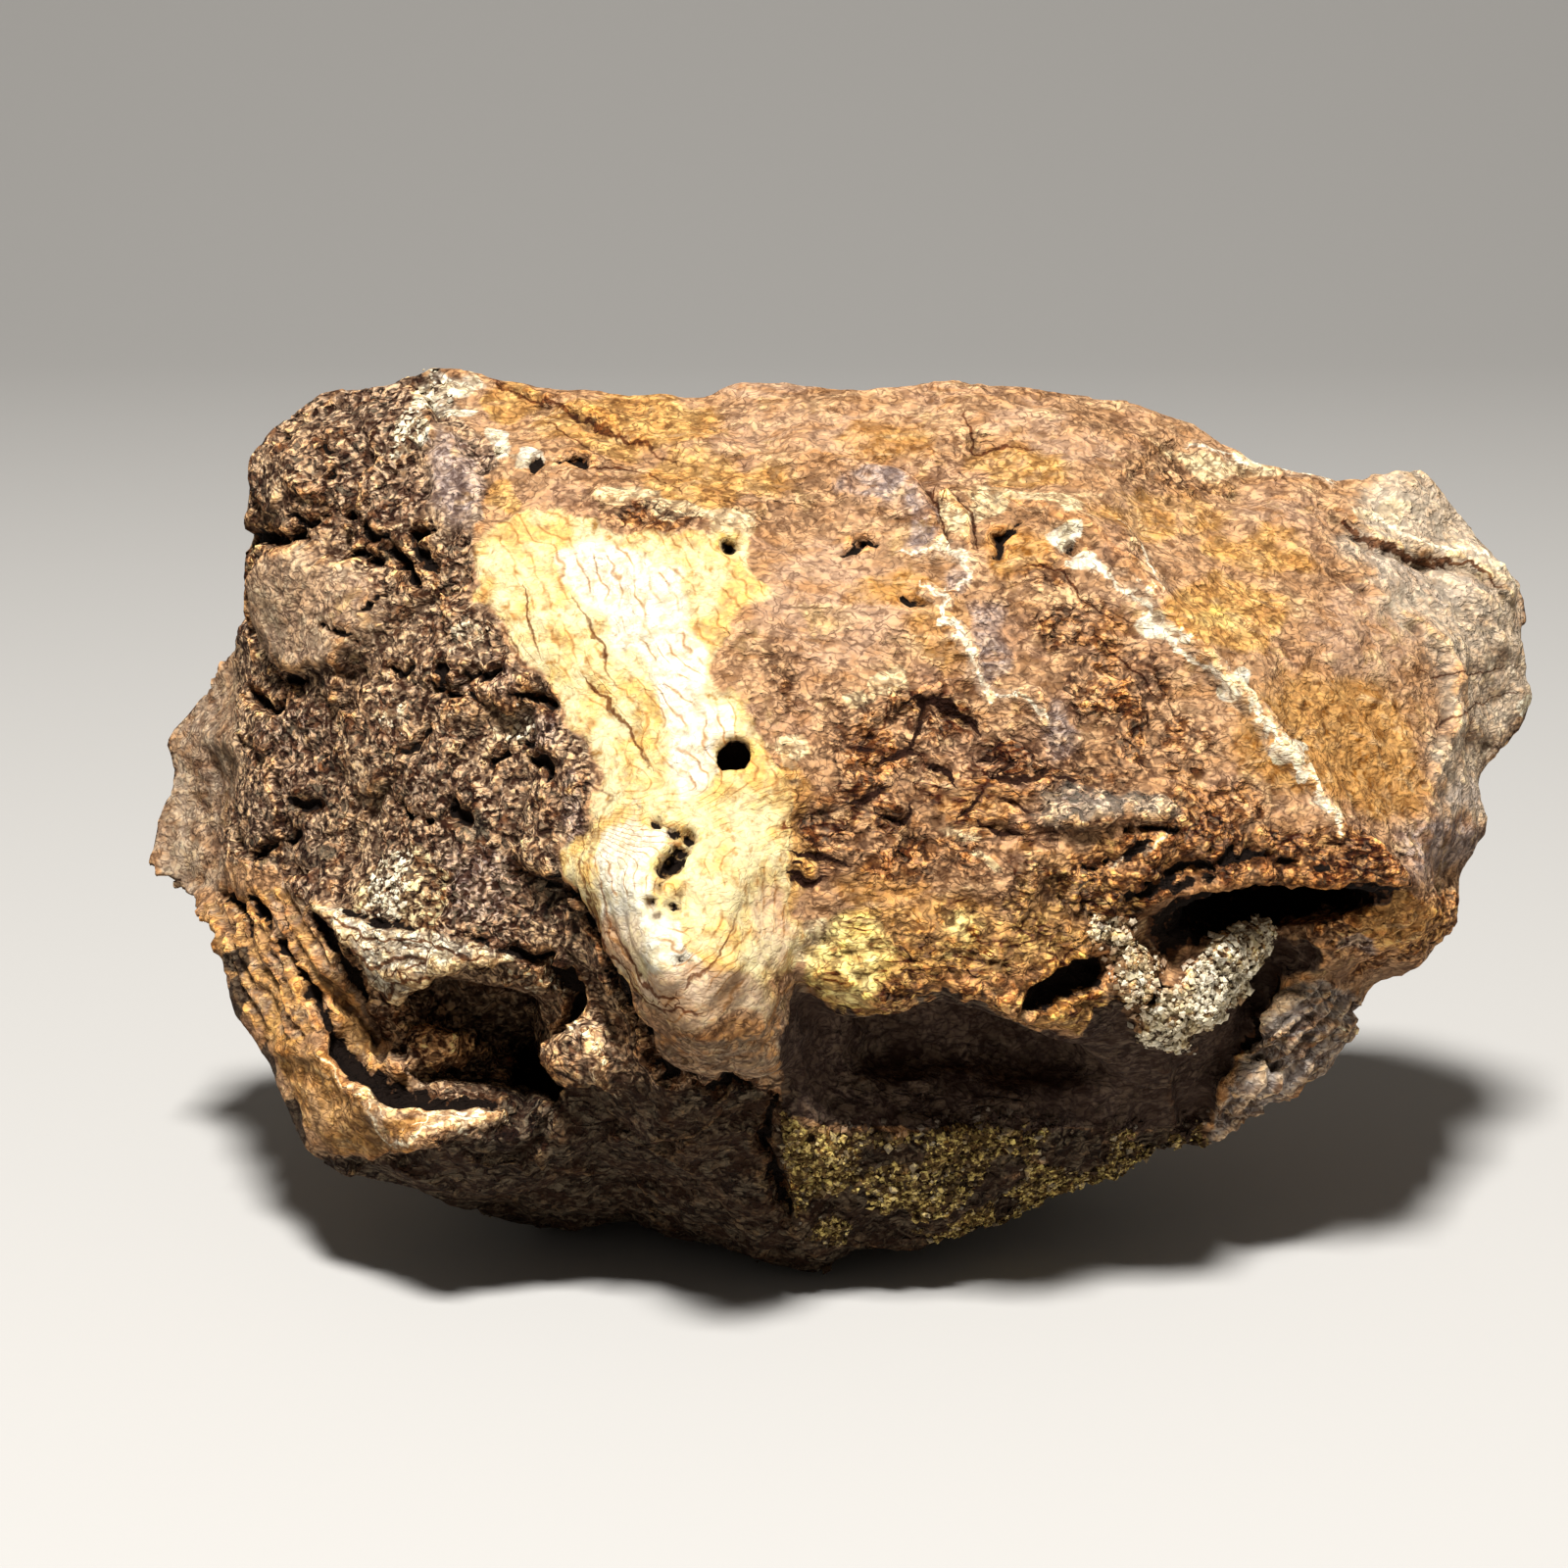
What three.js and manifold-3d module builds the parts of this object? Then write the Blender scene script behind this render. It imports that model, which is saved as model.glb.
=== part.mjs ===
// Pyrite specimen: one hand-sized lump of weathered iron-sulphide ore, about 105 mm wide.
// The lump formed as one piece, so it is one solid. Its broad face leans back, so its corners
// are given in a frame that leans with that face: [across, up, out], in millimetres.
import * as THREE from 'three';
import Module from 'manifold-3d';
import { ConvexGeometry } from 'three/addons/geometries/ConvexGeometry.js';
import { ConvexHull } from 'three/addons/math/ConvexHull.js';
import { ImprovedNoise } from 'three/addons/math/ImprovedNoise.js';
import { TessellateModifier } from 'three/addons/modifiers/TessellateModifier.js';
import { mergeVertices } from 'three/addons/utils/BufferGeometryUtils.js';

const LEAN_DEG = 14.5; // how far the broad face leans back from upright
const CENTRE_HEIGHT = 31.8; // from the resting plane to the middle of the face
const LONGEST_EDGE = 4.2; // the rough surface has no edge longer than this
const ROUGHNESS = [ // lumps and chips of the broken surface: size across, height
  { size: 13, height: 0.9 },
  { size: 5, height: 0.55 },
];

// The rim is the outline of the lump seen square to its broad face, clockwise from top left.
const RIM = [
  [-42.5, 25.5, 2], [-40.5, 28.5, 2], [-37, 31, 2], [-32.5, 31, 3], [-28.5, 32, 3],
  [-26, 31.5, 4], [-21, 31, 4], [-15, 30, 5], [-9.5, 30, 5], [-7.5, 31, 5], [-4.5, 31, 5],
  [1, 30.5, 6], [10.5, 31, 6], [14.5, 31, 5], [21, 30, 4], [26, 28, 3], [30.5, 25, 3],
  [34, 24, 3], [38.5, 24.5, 2], [43.5, 25, 0], [46.5, 22.5, -1], [49, 19.5, -1],
  [51.5, 16.5, -2], [51.5, 14, -2], [51, 12, -1], [52, 7.5, -2], [47.5, 2, 1],
  [47.5, -1.5, 2], [45.5, -5, 3], [45, -8, 4], [42, -11.5, 5], [39, -13, 4],
  [38.5, -16.5, 3], [35, -20, 4], [29.5, -23, 4], [26.5, -24.5, 3], [23.5, -24, 4],
  [19.5, -26.5, 4], [14.5, -28, 4], [11, -30, 5], [7, -31.5, 5], [2, -31.5, 5],
  [-1.5, -34, 4.5], [-5, -33, 4], [-10, -32, 2], [-16, -31, -2], [-23.5, -31, -4],
  [-29.5, -28.5, 4], [-35.5, -26.5, 7.5], [-38, -24, 7.5], [-41, -18, 6], [-43.5, -14, 4],
  [-45.5, -9.5, 2], [-50.5, -7, -7.5], [-53, -4.5, -11.5], [-52, -0.5, -11.5],
  [-50.5, 2.5, -11.5], [-51.5, 5.5, -12.5], [-48.5, 9.5, -11.5], [-45.5, 12.5, -7.5],
  [-43.5, 16.5, -1], [-43, 20.5, 1],
];

// The front of the lump, feature by feature.
const FRONT = {
  crest: [
    [-39, 24.5, 7.5], [-34, 27.5, 7.5], [-28, 27.5, 8.5], [-24.5, 26, 9.5], [-19, 26, 10.5],
    [-10.5, 25.5, 11.5], [-4.5, 27, 10.5], [1, 26.5, 11.5], [10, 27.5, 10.5],
    [17, 27.5, 9.5], [23, 26.5, 7.5],
  ],
  darkLeftFace: [
    [-41.5, 16, 4], [-37.5, 18.5, 8.5], [-31.5, 21, 11.5], [-26.5, 21, 13.5],
    [-39, 9.5, 6.5], [-32.5, 14, 12.5], [-27.5, 14, 15.5], [-42, 4.5, 4], [-36.5, 3, 8.5],
    [-30.5, 6, 14.5], [-24, 7, 18.5], [-20.5, 4.5, 21], [-42.5, -2.5, 4],
    [-35.5, -2.5, 10.5], [-29, -2.5, 16.5], [-23, -2.5, 20], [-19, -3.5, 23],
  ],
  leftLug: [
    [-46, 9.5, -8.5], [-48.5, 5, -9.5], [-46, 2.5, -7.5], [-49, -2.5, -8.5],
    [-46, -2.5, -6], [-50, -5.5, -9.5], [-46.5, -6, -5],
  ],
  paleVein: [
    [-23.5, 17.5, 17], [-20, 20, 16.5], [-14.5, 20.5, 16.5], [-9, 19.5, 18],
    [-5, 14, 21], [-19, 12.5, 20], [-13, 13.5, 22], [-8, 9.5, 24], [-16.5, 5.5, 23],
    [-11, 5.5, 26], [-6.5, 5.5, 26], [-16, -0.5, 25], [-11, -0.5, 28], [-5.5, -0.5, 27],
    [-3, -3.5, 26.5],
  ],
  veinKnob: [
    [-17, -5, 26], [-13.5, -5, 30], [-7.5, -5, 30], [-15.5, -9.5, 27], [-11.5, -10, 32],
    [-7, -10, 31], [-3.5, -9.5, 27.5], [-13.5, -14, 26.5], [-9.5, -14.5, 30],
    [-5.5, -13, 28.5], [-11.5, -17, 24], [-8.5, -17.5, 25.5], [-5.5, -16.5, 25],
  ],
  broadFace: [
    [-2.5, 22.5, 14], [3, 21, 16], [-0.5, 15, 19.5], [5.5, 15, 19.5], [-0.5, 8.5, 23],
    [5.5, 8.5, 22.5], [-0.5, 1.5, 25], [6, 1.5, 24.5], [0, -5, 26.5], [6.5, -5, 26],
    [10, 22, 14.5], [11, 15, 19.5], [11.5, 8.5, 22], [12.5, 1.5, 24.5], [13, -4, 25.5],
    [19, 22.5, 13], [16, 11.5, 21], [19.5, 5.5, 22.5], [18, -0.5, 24.5],
    [23.5, 3.5, 22], [24, -2, 23.5], [28.5, -0.5, 22], [29.5, -3.5, 21], [19, -4, 24],
  ],
  diagonalRidge: [
    [15.5, 19, 17], [19.5, 14.5, 19.5], [23, 11, 20.5], [27, 7.5, 21], [30, 3.5, 21],
    [33.5, -1, 20], [38.5, -5, 18],
  ],
  rightFace: [
    [24, 22.5, 9], [26.5, 18, 13.5], [28.5, 12.5, 16.5], [33.5, 8.5, 15.5],
    [33, 18.5, 9.5], [32.5, 23, 5.5], [38, 14.5, 10.5], [37, 3, 15.5], [37.5, 21, 5],
    [42.5, 18, 4], [42, 23.5, 2], [49.5, 17, 0.5], [44, 11.5, 6.5], [44, 5.5, 7.5],
    [48.5, 9, 1.5], [41, -2.5, 13], [45, -1.5, 6],
  ],
  lip: [
    [-3, -10.5, 26], [-0.5, -12, 26], [3, -13, 26], [6.5, -11.5, 26], [9.5, -12.5, 25.5],
    [12, -13.5, 25], [15, -11.5, 23.5], [16, -15, 22.5], [18, -8, 23.5],
  ],
  recess: [
    [-1.5, -14, 16.5], [3.5, -15, 16.5], [7, -13.5, 17], [13, -15.5, 16.5],
    [16.5, -17, 15.5], [-0.5, -18.5, 15.5], [6.5, -18.5, 13], [13.5, -19, 12.5],
    [19.5, -19.5, 11.5], [23.5, -21.5, 7.5],
  ],
  brassyBelly: [
    [-1.5, -23, 16.5], [5, -23, 15.5], [12, -22.5, 14], [18.5, -22.5, 10.5],
    [1, -26.5, 14], [6.5, -27.5, 12.5], [12, -26, 10.5], [16.5, -25, 8.5],
  ],
  keel: [
    [-17, -11, 22], [-15.5, -14.5, 20], [-13.5, -18, 19.5], [-8, -19, 20],
    [-4, -17.5, 19.5], [-3, -19.5, 18.5], [-11, -22.5, 18], [-6, -23, 18],
    [-10.5, -27, 11.5], [-5, -29, 11], [-1.5, -30.5, 10], [-16.5, -22, 14.5],
    [-15, -26, 8.5],
  ],
  slotRoofEdge: [
    [21.5, -7, 23], [25.5, -5, 22], [30, -4.5, 20], [35, -5, 19], [39, -5.5, 17.5],
  ],
  slotSill: [
    [24, -10, 18.5], [27.5, -8.5, 17.5], [31, -8.5, 11.5], [33.5, -7.5, 15],
    [37, -7, 16], [40.5, -6.5, 15],
  ],
  rustyLedge: [[36, -9.5, 13.5], [40.5, -9.5, 11.5], [43.5, -7.5, 8.5], [36, -12, 9.5]],
  paleLump: [
    [19.5, -9, 21], [20.5, -12, 22], [19.5, -15.5, 19.5], [25, -12, 20.5],
    [29, -9.5, 15.5], [22.5, -16, 18.5], [26, -15.5, 15.5],
  ],
  grooveBesideLump: [[30.5, -13, 7.5], [29, -17, 6.5], [26, -20.5, 6]],
  greyChunk: [
    [32, -12.5, 11.5], [35.5, -13, 10.5], [30.5, -16, 12.5], [35, -16.5, 9.5],
    [29, -19.5, 10.5], [32.5, -19, 8.5],
  ],
  upperShelf: [
    [-36, -5.5, 11.5], [-34, -9, 14.5], [-29.5, -11, 17.5], [-25, -10.5, 19],
    [-21, -11, 19.5], [-18.5, -12.5, 18.5],
  ],
  pocket: [
    [-33.5, -12, 10.5], [-29, -13.5, 12], [-24, -14.5, 13], [-19.5, -14.5, 14],
    [-32.5, -16.5, 8], [-27.5, -16.5, 13], [-28, -19, 9], [-22, -19, 5],
  ],
  pocketSill: [
    [-36.5, -13, 10.5], [-32, -18.5, 13.5], [-28, -20.5, 15.5], [-23.5, -21, 15.5],
    [-19.5, -19.5, 16.5], [-17, -16.5, 18.5],
  ],
  outerLedge: [
    [-43, -9, 5], [-38.5, -13, 9.5], [-36, -17.5, 13.5], [-32, -20.5, 16.5],
    [-27.5, -23, 17.5], [-22, -23, 16], [-30, -25.5, 13], [-35, -23.5, 11.5],
    [-24, -27, 9.5],
  ],
};

// The back is a plainer break: a few broad facets, two steps and the flat it rests on.
const BACK = {
  topSlope: [
    [-40, 26, -7], [-28, 29, -9], [-17, 26.5, -10], [-6, 28, -9], [5, 27, -12],
    [16, 26.5, -10], [25, 24, -8], [33, 21, -9], [43, 21.5, -7], [48.5, 16, -8],
  ],
  upperBreak: [
    [-41, 17, -16], [-33, 20, -20], [-22, 21.5, -21], [-11, 20.5, -25], [3, 20, -23],
    [14, 20.5, -25], [25, 14, -21], [36, 14, -18], [45, 12, -14],
  ],
  highGround: [
    [-43.5, 6, -17], [-36, 8, -24], [-27, 8, -26], [-15, 9, -30], [-1, 10, -29.5],
    [11, 7, -31], [23, 4, -27], [34, 3, -22], [43.5, 2, -14],
  ],
  middleStep: [
    [-49, -2, -19], [-43, -5, -22], [-36, -5, -24], [-25, -5, -29], [-9, -3, -30.5],
    [4, -4, -30], [17, -5, -27], [29, -7, -21], [40, -6, -13],
  ],
  lowerBreak: [
    [-42, -12, -13], [-33, -14, -19], [-20, -15, -25], [-6, -14, -29.5],
    [8, -15, -28], [20, -15, -21], [32, -14, -13], [-38, -20, -4],
  ],
  foot: [
    [-31, -24, -7], [-24, -25, -16], [-20, -22, -24], [-5, -22, -29], [9, -22, -27],
    [19, -22, -17], [26, -20.5, -6],
  ],
  restingFlat: [
    [-16, -30.6, -8], [-8, -31.6, -5], [-2, -32.6, -2], [4, -30.8, -8], [-20, -29.6, -13],
    [10, -29.8, -13], [-19, -28, -22], [-4, -27.4, -26], [8, -27.5, -25.5],
    [13.5, -27.6, -21],
  ],
};

// Hollows cut deeper than the facets show, each a hull of corners in the same frame.
const HOLLOWS = {
  underLip: [
    [-2.5, -14, 20], [3, -14.6, 22], [7, -13, 23], [12, -15, 22], [17, -17, 19],
    [-2, -19.5, 19], [7, -21, 19], [16, -20.5, 16], [22, -20.5, 12],
    [2, -12, 13], [8, -11, 13], [14, -13, 12], [3, -17.5, 11], [16, -18, 9],
  ],
  slot: [
    [22, -8, 22], [29, -5.5, 22], [38.5, -6, 19], [25, -9.3, 20], [37, -7.2, 18],
    [26, -4.5, 10], [36, -4.5, 8], [27, -7.5, 8], [35, -7, 7],
  ],
  underShelf: [
    [-33, -11.5, 13], [-26, -12.3, 18], [-20, -13.4, 18], [-32, -15, 12],
    [-21, -16.5, 15], [-30, -12, 8], [-22, -12, 8], [-29, -16, 8], [-22, -18, 3],
  ],
  roundVeinHole: [
    [-8.3, 3.6, 28], [-6.1, 3.6, 28], [-7.2, 4.8, 28], [-7.2, 2.4, 28],
    [-8, 3.2, 20], [-6.3, 3.2, 20], [-7.2, 4, 20], [-7.2, 2.4, 20],
  ],
};

const lean = THREE.MathUtils.degToRad(LEAN_DEG);
const across = new THREE.Vector3(1, 0, 0);
const up = new THREE.Vector3(0, Math.sin(lean), Math.cos(lean));
const out = new THREE.Vector3(0, -Math.cos(lean), Math.sin(lean));

// A corner of the leaning frame as a point above the resting plane.
function place([u, v, w]) {
  return new THREE.Vector3(0, 0, CENTRE_HEIGHT)
    .addScaledVector(across, u)
    .addScaledVector(up, v)
    .addScaledVector(out, w);
}

// Whether a spot of the face lies inside the rim.
function insideRim(u, v) {
  let inside = false;
  RIM.forEach(([u1, v1], i) => {
    const [u0, v0] = RIM[(i + RIM.length - 1) % RIM.length];
    const crosses = v0 > v !== v1 > v;
    if (crosses && u < u0 + ((u1 - u0) * (v - v0)) / (v1 - v0)) {
      inside = !inside;
    }
  });
  return inside;
}

// Delaunay triangles over the face: the underside of the hull of the corners lifted onto a bowl.
function triangulate(corners) {
  const lifted = corners.map(([u, v]) => new THREE.Vector3(u, v, (u * u + v * v) / 100));
  const order = new Map(lifted.map((point, i) => [point, i]));
  const hull = new ConvexHull().setFromPoints(lifted);
  const triangles = [];
  for (const face of hull.faces) {
    if (face.normal.z < 0 && insideRim(face.midpoint.x, face.midpoint.y)) {
      const { edge } = face;
      triangles.push([edge.prev, edge, edge.next].map((e) => order.get(e.head().point)));
    }
  }
  return triangles;
}

// The front and back surfaces meet at the rim and close the lump.
function rawLump() {
  const positions = [];
  const sides = [[FRONT, true], [BACK, false]];
  for (const [features, facesOut] of sides) {
    const corners = [...RIM, ...Object.values(features).flat()];
    for (const triangle of triangulate(corners)) {
      // the underside of the bowl faces backwards, so the front's triangles are turned over
      const turned = facesOut ? [...triangle].reverse() : triangle;
      turned.forEach((i) => positions.push(...place(corners[i]).toArray()));
    }
  }
  const geometry = new THREE.BufferGeometry();
  geometry.setAttribute('position', new THREE.Float32BufferAttribute(positions, 3));
  return geometry;
}

// Splits long edges and pushes the surface in and out by noise.
function roughen(geometry) {
  const split = new TessellateModifier(LONGEST_EDGE, 12).modify(weld(geometry).toNonIndexed());
  const rough = weld(split);
  rough.computeVertexNormals();
  const noise = new ImprovedNoise();
  const point = new THREE.Vector3();
  const normal = new THREE.Vector3();
  const { position } = rough.attributes;
  for (let i = 0; i < position.count; i += 1) {
    point.fromBufferAttribute(position, i);
    normal.fromBufferAttribute(rough.attributes.normal, i);
    let push = 0;
    for (const { size, height } of ROUGHNESS) {
      push += height * noise.noise(point.x / size, point.y / size, point.z / size);
    }
    point.addScaledVector(normal, push);
    position.setXYZ(i, point.x, point.y, point.z);
  }
  rough.deleteAttribute('normal');
  return rough;
}

function weld(geometry) {
  const bare = geometry.clone();
  bare.deleteAttribute('normal');
  bare.deleteAttribute('uv');
  return mergeVertices(bare, 1e-4);
}

const wasm = await Module();
wasm.setup();

function toSolid(geometry) {
  const welded = weld(geometry);
  return new wasm.Manifold(new wasm.Mesh({
    numProp: 3,
    vertProperties: new Float32Array(welded.attributes.position.array),
    triVerts: new Uint32Array(welded.index.array),
  }));
}

function toGeometry(solid) {
  const mesh = solid.getMesh();
  const geometry = new THREE.BufferGeometry();
  geometry.setAttribute('position', new THREE.BufferAttribute(mesh.vertProperties, 3));
  geometry.setIndex(new THREE.BufferAttribute(mesh.triVerts, 1));
  return geometry;
}

function pyriteLump() {
  let solid = toSolid(rawLump());
  for (const corners of Object.values(HOLLOWS)) {
    solid = solid.subtract(toSolid(new ConvexGeometry(corners.map(place))));
  }
  solid = toSolid(roughen(toGeometry(solid)));

  // everything under the resting plane is cut away, which leaves the flat it stands on
  const ground = new THREE.BoxGeometry(200, 200, 20).translate(0, 0, -10);
  const geometry = toGeometry(solid.subtract(toSolid(ground)));
  geometry.computeBoundingBox();
  const middle = geometry.boundingBox.getCenter(new THREE.Vector3());
  geometry.translate(-middle.x, -middle.y, 0);
  geometry.computeVertexNormals();

  const weatheredOre = new THREE.MeshStandardMaterial({
    color: '#a07a4c',
    roughness: 0.9,
    metalness: 0,
    flatShading: true,
  });
  const mesh = new THREE.Mesh(geometry, weatheredOre);
  mesh.name = 'pyrite_specimen';
  return mesh;
}

const specimen = new THREE.Group();
specimen.name = 'specimen';
specimen.add(pyriteLump());

export default specimen;
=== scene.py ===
import math

import bmesh
import bpy
import numpy as np
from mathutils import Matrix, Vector


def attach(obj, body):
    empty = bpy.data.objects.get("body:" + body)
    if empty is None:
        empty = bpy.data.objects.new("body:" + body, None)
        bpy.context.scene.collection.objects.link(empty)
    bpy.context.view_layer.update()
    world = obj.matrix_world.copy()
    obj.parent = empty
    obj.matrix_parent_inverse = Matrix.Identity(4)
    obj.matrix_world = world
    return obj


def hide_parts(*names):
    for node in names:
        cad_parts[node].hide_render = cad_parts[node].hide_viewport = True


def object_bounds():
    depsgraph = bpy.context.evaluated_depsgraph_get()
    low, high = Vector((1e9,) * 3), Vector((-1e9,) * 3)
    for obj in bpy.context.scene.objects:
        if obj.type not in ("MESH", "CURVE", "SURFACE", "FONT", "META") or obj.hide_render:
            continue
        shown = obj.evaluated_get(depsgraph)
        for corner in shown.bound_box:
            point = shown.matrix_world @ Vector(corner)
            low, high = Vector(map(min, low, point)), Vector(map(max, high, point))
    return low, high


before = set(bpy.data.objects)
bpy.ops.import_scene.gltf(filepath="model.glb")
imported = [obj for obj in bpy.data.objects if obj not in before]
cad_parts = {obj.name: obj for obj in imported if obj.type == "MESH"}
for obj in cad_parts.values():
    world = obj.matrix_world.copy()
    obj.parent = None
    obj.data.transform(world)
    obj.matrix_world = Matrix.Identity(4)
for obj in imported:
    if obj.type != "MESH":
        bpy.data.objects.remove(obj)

cad_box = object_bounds()

# ---------------------------------------------------------------------------------------------
# The lump: weathered pyrite ore, broken out of a seam and left as found. Inside it is iron
# sulphide; outside it has rotted to brown goethite and orange limonite, and a vein of cream
# clay and quartz runs down the corner of its front. It is one solid, worn and cracked here.
# ---------------------------------------------------------------------------------------------
MM = 0.001
POINT_SPACING = 0.45  # mm between the points of the finished surface
WELD_WITHIN = 0.01  # mm
MOST_TRIANGLES = 190_000
LEAN = math.radians(14.5)  # the broad face leans back; places on it are given along it
FACE_MIDDLE = np.array([0.37, 0.88, 31.8])
ACROSS = np.array([1.0, 0.0, 0.0])
UP_FACE = np.array([0.0, math.sin(LEAN), math.cos(LEAN)])
OUT_OF_FACE = np.array([0.0, -math.cos(LEAN), math.sin(LEAN)])


def keep_one_piece(mesh):
    """Drops the specks that thin corners leave beside the solid when its points are evened."""
    places = np.empty(len(mesh.vertices) * 3)
    mesh.vertices.foreach_get("co", places)
    ends = np.empty(len(mesh.edges) * 2, dtype=np.int64)
    mesh.edges.foreach_get("vertices", ends)
    first, second = ends.reshape(-1, 2).T
    kept = np.zeros(len(mesh.vertices), dtype=bool)
    kept[np.argmax(places.reshape(-1, 3)[:, 2])] = True
    joined = np.zeros(len(first), dtype=bool)
    while np.any(joined != (kept[first] | kept[second])):
        joined = kept[first] | kept[second]
        kept[first[joined]] = True
        kept[second[joined]] = True
    whole = bmesh.new()
    whole.from_mesh(mesh)
    specks = [point for point in whole.verts if not kept[point.index]]
    bmesh.ops.delete(whole, geom=specks, context="VERTS")
    whole.to_mesh(mesh)
    whole.free()


def even_copy(node, spacing):
    """The node's solid as a new closed mesh with its points evenly spaced."""
    rough = bpy.data.objects.new("rough_" + node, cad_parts[node].data.copy())
    bpy.context.collection.objects.link(rough)
    weld = rough.modifiers.new("weld", "WELD")
    weld.merge_threshold = WELD_WITHIN * MM
    remesh = rough.modifiers.new("even", "REMESH")
    remesh.mode = "VOXEL"
    remesh.voxel_size = spacing * MM
    remesh.use_smooth_shade = True
    seen = rough.evaluated_get(bpy.context.evaluated_depsgraph_get())
    mesh = bpy.data.meshes.new_from_object(seen)
    bpy.data.objects.remove(rough)
    keep_one_piece(mesh)
    return mesh


mesh = even_copy("pyrite_specimen", POINT_SPACING)
count = len(mesh.vertices)
points = np.empty(count * 3)
mesh.vertices.foreach_get("co", points)
points = points.reshape(-1, 3) / MM
edges = np.empty(len(mesh.edges) * 2, dtype=np.int64)
mesh.edges.foreach_get("vertices", edges)
edge_a, edge_b = edges.reshape(-1, 2).T
neighbours = np.bincount(edge_a, minlength=count) + np.bincount(edge_b, minlength=count)
corners = np.empty(len(mesh.loops), dtype=np.int64)
mesh.loops.foreach_get("vertex_index", corners)
starts = np.empty(len(mesh.polygons), dtype=np.int64)
mesh.polygons.foreach_get("loop_start", starts)


def blur(values, rounds):
    """Evens out a value or a place with its neighbours, the given number of times."""
    values = values.reshape(count, -1)
    for _ in range(rounds):
        columns = []
        for column in values.T:
            near = np.bincount(edge_a, column[edge_b], count)
            near += np.bincount(edge_b, column[edge_a], count)
            columns.append(near / neighbours)
        values = 0.4 * values + 0.6 * np.stack(columns, axis=1)
    return values.squeeze()


def surface_normals(places):
    """The outward direction at each point."""
    first, third = places[corners[starts]], places[corners[starts + 2]]
    second, fourth = places[corners[starts + 1]], places[corners[starts + 3]]
    across = np.cross(third - first, fourth - second)
    total = np.zeros((count, 3))
    for turn in range(4):
        for axis in range(3):
            total[:, axis] += np.bincount(corners[starts + turn], across[:, axis], count)
    return total / np.maximum(np.linalg.norm(total, axis=1, keepdims=True), 1e-9)


SEED = 26
dice = np.random.default_rng(SEED)
DIRECTIONS = dice.normal(size=(256, 3))
DIRECTIONS /= np.linalg.norm(DIRECTIONS, axis=1, keepdims=True)


def scramble(cells):
    """A fixed random whole number for each cell of space."""
    mixed = cells[:, 0] * 73856093 ^ cells[:, 1] * 19349663 ^ cells[:, 2] * 83492791
    return (mixed ^ (mixed >> 13)) * 1274126177 & 0xFFFFFF


def waves(places, size, layers=1):
    """Smooth random swells about `size` mm across, from -1 to 1, with finer layers on them."""
    total = np.zeros(len(places))
    for layer in range(layers):
        scaled = places * (2.0**layer / size) + 31.7 * layer + size
        cells = np.floor(scaled).astype(np.int64)
        inside = scaled - cells
        blend = inside**3 * (inside * (inside * 6 - 15) + 10)
        for corner in np.ndindex(2, 2, 2):
            corner = np.array(corner)
            slope = DIRECTIONS[scramble(cells + corner) % 256]
            share = np.prod(np.where(corner, blend, 1 - blend), axis=1)
            total += share * np.sum((inside - corner) * slope, axis=1) / 2.0**layer
    return np.clip(1.7 * total, -1, 1)


def ease(values, low, high):
    """0 below low, 1 above high, and smooth between."""
    share = np.clip((values - low) / (high - low), 0, 1)
    return share * share * (3 - 2 * share)


# Where each point lies on the broad face, in mm across, up and out of it.
plain = blur(points, 10)
facing = surface_normals(blur(points, 16))
from_middle = plain - FACE_MIDDLE
across_mm = from_middle @ ACROSS
up_mm = from_middle @ UP_FACE
out_mm = from_middle @ OUT_OF_FACE
in_front = ease(facing @ OUT_OF_FACE + 0.03 * out_mm, -0.25, 0.1)
drift = waves(plain, 3.5, 2), waves(plain + 70, 3.5, 2)
small_drift = waves(plain, 1.6, 2), waves(plain + 40, 1.6, 2)

# The stains and minerals of the front, each the outline of its patch: mm across and up.
CREAM_VEIN = [
    (-25, 17), (-24.5, 18.5), (-23, 20.5), (-21, 21), (-17.5, 20), (-12, 18.5), (-6.5, 19),
    (-6, 16), (-4, 14), (-7, 13.5), (-8.5, 9.5), (-6, 6), (-4.5, 2.5), (-3, 0.5), (-2.5, -1.5),
    (-3.5, -4), (-3, -7.5), (-2.5, -10), (-4.5, -11), (-5, -13), (-8, -13.6), (-9.5, -14),
    (-11, -13.8), (-13.5, -13), (-15.5, -10.5), (-17, -7), (-18.5, -4), (-19, -2.5),
    (-17, -1.5), (-16.5, 2.5), (-18.5, 6.5), (-21, 9.5), (-21.5, 11.5), (-25, 15),
]
WHITE_CORE = [
    (-20, 18), (-16, 18.5), (-10.5, 16.5), (-9.5, 12.5), (-8, 8), (-6, 5), (-8, 3.5),
    (-9, 0.5), (-11, -0.5), (-11, 4.5), (-11.5, 7), (-13.5, 9.5), (-15, 12.5), (-17, 15),
]
WHITE_KNOB = [
    (-13, -1), (-12, -3.5), (-12.5, -6.5), (-10, -8), (-9, -10.5), (-10, -12), (-12.5, -11.5),
    (-15, -8), (-16, -5), (-16, -2.5),
]
DARK_FACE = [
    (-44, 26), (-40.5, 30), (-37, 33), (-32.5, 33), (-28.5, 31), (-26, 27), (-24.5, 22.5),
    (-24.5, 19), (-25, 15), (-21.5, 11.5), (-18.5, 6.5), (-16.5, 2.5), (-17, -1.5),
    (-19, -2.5), (-18.5, -4), (-17, -7), (-15.5, -10.5), (-17, -11.5), (-21, -9), (-25, -7),
    (-31, -5.5), (-35.5, -5), (-39, -4), (-46, -4), (-45, -1), (-44.5, 4.5), (-46, 13),
]
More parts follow.
